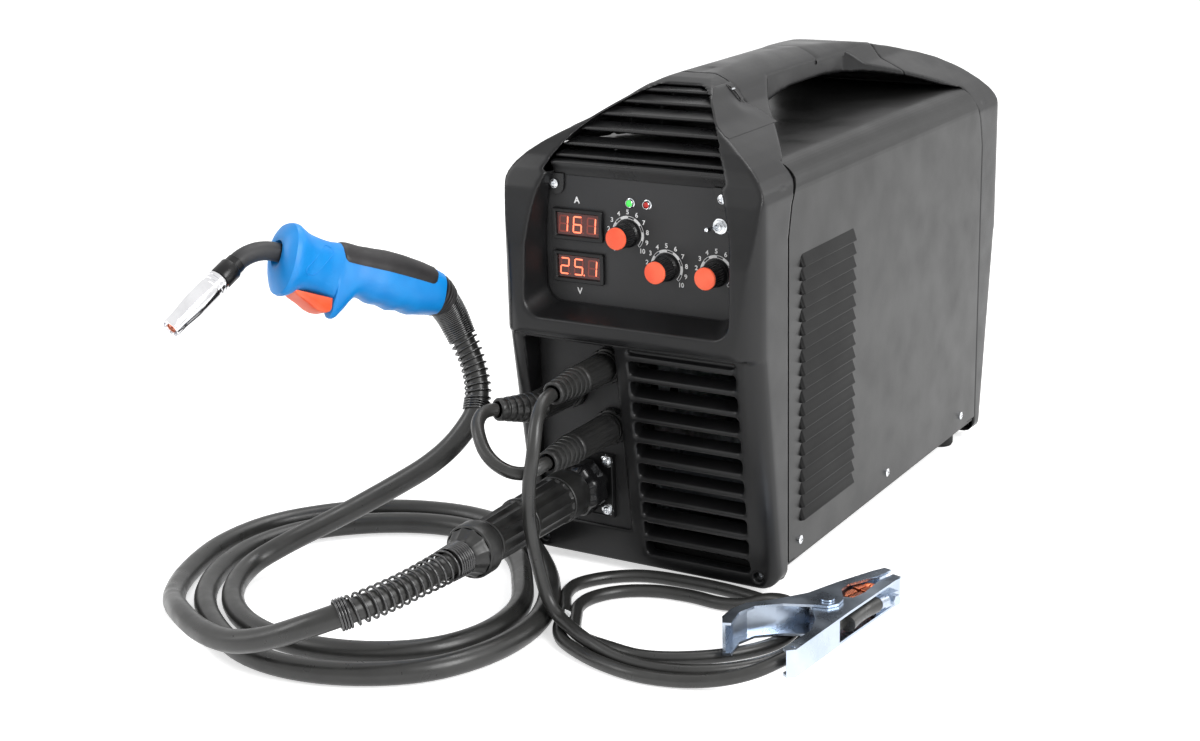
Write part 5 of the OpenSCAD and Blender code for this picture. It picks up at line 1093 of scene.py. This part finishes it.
earthLead = {
    "diameter": 10.5,
    "route": [(-30, -320.6, 178), (-29.7, -328, 177.2), (-28.5, -338, 174), (-26, -349, 166),
        (-23.5, -357, 154), (-23, -362, 139), (-25, -364, 123), (-25.5, -365, 107), (-25.5, -365, 91),
        (-23.5, -365, 75), (-21, -364, 59), (-18, -362.5, 43), (-14.5, -361.5, 30), (-8.5, -362.5, 21),
        (0.5, -366, 15.6), (12, -373, 14.6), (27, -381, 13.2), (43, -386.5, 10.8), (60, -389.5, 7.6),
        (81, -390, 5.4), (103, -388, 5.4), (125, -380, 5.4), (146, -365, 5.4), (163, -342, 5.4),
        (171, -312, 5.4), (167, -283, 5.4), (156, -267, 9), (140, -259, 15.6), (122, -257.5, 14),
        (104, -262, 8), (84, -263.5, 5.4), (58, -262, 5.4), (30, -265, 5.4), (8, -275, 5.4),
        (-6, -289, 5.4), (-13, -306, 5.4), (-11.5, -323, 5.4), (-4, -338, 5.4), (3, -351, 5.4),
        (9.5, -361, 5.4), (22, -369.5, 5.4), (47, -374.5, 5.4), (76, -376.5, 5.4), (107, -364, 5.4),
        (136, -340, 5.4), (153, -313, 5.4), (156, -286, 5.4), (145, -264, 5.4), (121, -247, 5.4),
        (86, -239, 5.4), (40, -238, 5.4), (1, -244, 5.4), (-25, -263, 5.4), (-36.5, -284, 5.4),
        (-34, -303, 5.4), (-25, -320, 5.4), (-15.5, -335, 5.4), (-9.5, -351, 5.4), (-1.5, -366.5, 5.4),
        (10, -379.5, 5.4), (28, -390, 5.4), (54, -400, 5.4), (90, -405.5, 5.4), (123, -400, 6),
        (150, -390, 9), (171, -379, 15), (186, -362.5, 21.5), (193.5, -347, 24.3), (196, -330, 24.3),
        (197.4, -306, 24.3), (199, -289, 24.3), (203.4, -269.5, 24.3), (209.2, -248, 24.3)],}
jumperLead = {
    "diameter": 10.5,
    "route": [(-81.9, -321.1, 158.2), (-84.2, -327, 159), (-85.3, -335.5, 158.2), (-82.5, -346, 154),
              (-76, -354, 147), (-67, -360, 138), (-56, -363, 131), (-45, -361.5, 126), (-36, -356, 124),
              (-30.5, -348.5, 125), (-28.2, -341.5, 126.6), (-28, -334.3, 127)],
}


# a lead as one open spline that passes through its points
def makeLead(name, points, diameterMm, stands):
    path = smoothPath(points, 3)
    data = bpy.data.curves.new(name, "CURVE")
    data.dimensions = "3D"
    data.bevel_depth = diameterMm / 2 * mm
    data.bevel_resolution = 6
    data.use_fill_caps = True
    data.resolution_u = 2
    spline = data.splines.new("BEZIER")
    spline.bezier_points.add(len(path) - 1)
    for knot, point in zip(spline.bezier_points, path):
        knot.co = point * mm
        knot.handle_left_type = knot.handle_right_type = "AUTO"
    data.materials.append(leadJacket)
    lead = bpy.data.objects.new(name, data)
    scene.collection.objects.link(lead)
    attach(lead, "machine")
    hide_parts(*stands)


# steel wire wound round a lead: turns that are tight, open and tight again, wider over its first stretch
springSettings = {
    "gun_plug_spring": {"wire": 2.1, "radius": 11.3, "turns": (7, 14, 4), "wider": 1.6, "over": 50},
    "torch_spring": {"wire": 1.9, "radius": 10.4, "turns": (17, 10, 4), "wider": 3.0, "over": 55}}


def windSpring(name, path):
    spring = springSettings[name]
    tightTurns, openTurns, endTurns = spring["turns"]
    total = pathLength(path)
    tightLength, endLength = (turns * spring["wire"] * 1.06 for turns in (tightTurns, endTurns))
    openLength = max(total - tightLength - endLength, 1)
    frames = framesAlong(path)
    reach = [0.0]
    for i in range(len(path) - 1):
        reach.append(reach[-1] + (path[i + 1] - path[i]).length)
    stepsPerTurn = 20
    wire, k = [], 0
    for i in range(sum(spring["turns"]) * stepsPerTurn + 1):
        turn = i / stepsPerTurn
        if turn < tightTurns:
            s = turn / tightTurns * tightLength
        elif turn < tightTurns + openTurns:
            s = tightLength + (turn - tightTurns) / openTurns * openLength
        else:
            s = tightLength + openLength + (turn - tightTurns - openTurns) / endTurns * endLength
        s = min(s, total - 1e-4)
        while k < len(reach) - 2 and reach[k + 1] < s:
            k += 1
        t = (s - reach[k]) / max(reach[k + 1] - reach[k], 1e-6)
        point = path[k].lerp(path[k + 1], t)
        side = frames[k][1].lerp(frames[k + 1][1], t).normalized()
        up = frames[k][2].lerp(frames[k + 1][2], t).normalized()
        a = 2 * math.pi * turn
        r = spring["radius"] + spring["wider"] * max(0.0, 1 - s / spring["over"])
        wire.append(point + r * (math.cos(a) * side + math.sin(a) * up))
    coil = addPart(newShape(), *piped(wire, spring["wire"] / 2, 8))
    return makePiece(name, coil, [springSteel], "machine", 60)


# rest of a path behind its first part
def clipPath(path, startMm):
    kept, reach = [], 0.0
    for i, point in enumerate(path):
        if i:
            reach += (point - path[i - 1]).length
        if startMm <= reach:
            kept.append(point)
    return kept


gunPoints = gunLead["relief"] + gunLead["run"] + gunLead["torchRelief"]
plugRelief = windSpring("gun_plug_spring", smoothPath(gunLead["relief"], 8))
# the second spring starts inside the handle's ribbed joint
torchRelief = windSpring("torch_spring", clipPath(smoothPath(gunLead["torchRelief"], 8)[::-1], 10.5))
makeLead("gun_lead", gunPoints, gunLead["diameter"], ["gun_cable", "gun_coil", "gun_springs"])
makeLead("jumper_cord", jumperLead["route"], jumperLead["diameter"], ["jumper_lead"])
makeLead("earth_lead", earthLead["route"], earthLead["diameter"], ["earth_cable", "earth_coil"])
print("leads laid")


# pale floor that reads white to the camera but still takes the object's shadow; lamps in watts and metres
stageSettings = {
    "floorColour": "#f4f4f4", "floorSize": 16.0, "lift": 0.6, "world": 0.5, "target": (0, -0.05, 0.2),
    "lamps": (("key_light", (1.75, -0.75, 1.2), (0.8, 1.2), 34),
        ("fill_light", (-2.2, -1.9, 1.7), (1.2, 1.6), 24), ("top_light", (0.1, 0.9, 2.6), (1.8, 1.2), 28),
        ("back_light", (2.0, 2.2, 1.5), (0.8, 1.6), 16))}


# second shader where it is seen, also in a reflection or through something clear, first one elsewhere
def mixSeen(tree, lit, shown):
    rays = addNode(tree, "ShaderNodeLightPath").outputs
    seen = rays["Is Camera Ray"]
    for name in ("Is Glossy Ray", "Is Transmission Ray"):
        seen = addNode(tree, "ShaderNodeMath", {"operation": "MAXIMUM"},
            {0: seen, 1: rays[name]}).outputs[0]
    return addNode(tree, "ShaderNodeMixShader", None, {0: seen, 1: lit.outputs[0], 2: shown.outputs[0]})


floorMesh = bpy.data.meshes.new("floor")
half = stageSettings["floorSize"] / 2
floorMesh.from_pydata([(-half, -half, 0), (half, -half, 0), (half, half, 0), (-half, half, 0)], [],
    [(0, 1, 2, 3)])
floor = bpy.data.objects.new("floor", floorMesh)
scene.collection.objects.link(floor)
floorFinish = bpy.data.materials.new("paper_floor")
floorFinish.use_nodes = True
tree = floorFinish.node_tree
tree.nodes.clear()
paper = addNode(tree, "ShaderNodeBsdfDiffuse", {"Color": linearColour(stageSettings["floorColour"])})
glow = addNode(tree, "ShaderNodeEmission", {"Color": (1, 1, 1, 1), "Strength": stageSettings["lift"]})
lifted = addNode(tree, "ShaderNodeAddShader", None, {0: paper.outputs[0], 1: glow.outputs[0]})
shown = mixSeen(tree, paper, lifted)
addNode(tree, "ShaderNodeOutputMaterial", None, {"Surface": shown.outputs[0]})
floorMesh.materials.append(floorFinish)


# rectangular lamp aimed at a point
def addSoftbox(name, place, target, size, power):
    data = bpy.data.lights.new(name, "AREA")
    data.shape = "RECTANGLE"
    data.size, data.size_y = size
    data.energy = power
    lamp = bpy.data.objects.new(name, data)
    scene.collection.objects.link(lamp)
    lamp.matrix_world = aimed(Vector(place), Vector(place) - Vector(target))


for name, place, size, power in stageSettings["lamps"]:
    addSoftbox(name, place, stageSettings["target"], size, power)

world = bpy.data.worlds.new("studio")
scene.world = world
world.use_nodes = True
tree = world.node_tree
tree.nodes.clear()
soft = addNode(tree, "ShaderNodeBackground", {"Color": (1, 1, 1, 1), "Strength": stageSettings["world"]})
white = addNode(tree, "ShaderNodeBackground", {"Color": (1, 1, 1, 1), "Strength": 1.0})
mixed = mixSeen(tree, soft, white)
addNode(tree, "ShaderNodeOutputWorld", None, {"Surface": mixed.outputs[0]})
print("stage lit")


# every carried-over node takes the real finish of its piece
nodeFinishes = ((housingAbs, "front_bezel handle rear_bezel top_grille"),
    (coverPaint, "cover side_door base_plate rear_panel"),
    (smallAbs,
        "door_latch fan_frame fan_rotor switch_housing power_rocker mains_gland spool_shaft spool_cap"),
    (smallAbs, "tension_knob meters weld_sockets gun_socket gun_nut"), (feetRubber, "feet"),
    (galvanised, "divider"), (panelFilm, "control_panel connector_plate"), (machinedBrass, "gas_inlet"),
    (windingEnamel, "transformer"), (boardGreen, "inverter_board control_board"),
    (wireCopper, "wire_spool"), (dieCast, "feeder_frame"), (motorPaint, "feed_motor pressure_arm"),
    (groundSteel, "drive_roll pressure_roll"), (knobOrange, "speed_knob voltage_knob current_knob"),
    (nickelScrew, "toggle_base toggle_lever screws"), (plugRubber, "earth_plug jumper_plugs gun_plug"),
    (tieNylon, "cable_tie"), (zincPlate, "clamp_fixed_arm clamp_moving_arm"), (springSteel, "clamp_spring"),
    (bareCopper, "clamp_contacts"), (torchBlue, "gun_handle"), (gripRubber, "gun_grip"),
    (triggerOrange, "gun_trigger"), (neckSleeve, "gun_neck"), (polishedNozzle, "gas_nozzle"))
for finish, names in nodeFinishes:
    for nodeName in names.split():
        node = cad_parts[nodeName]
        if not node.data.materials:
            node.data.materials.append(finish)
        for place in node.material_slots:
            place.link = "OBJECT"
            place.material = finish
print("nodes finished:", sum(len(names.split()) for finish, names in nodeFinishes))
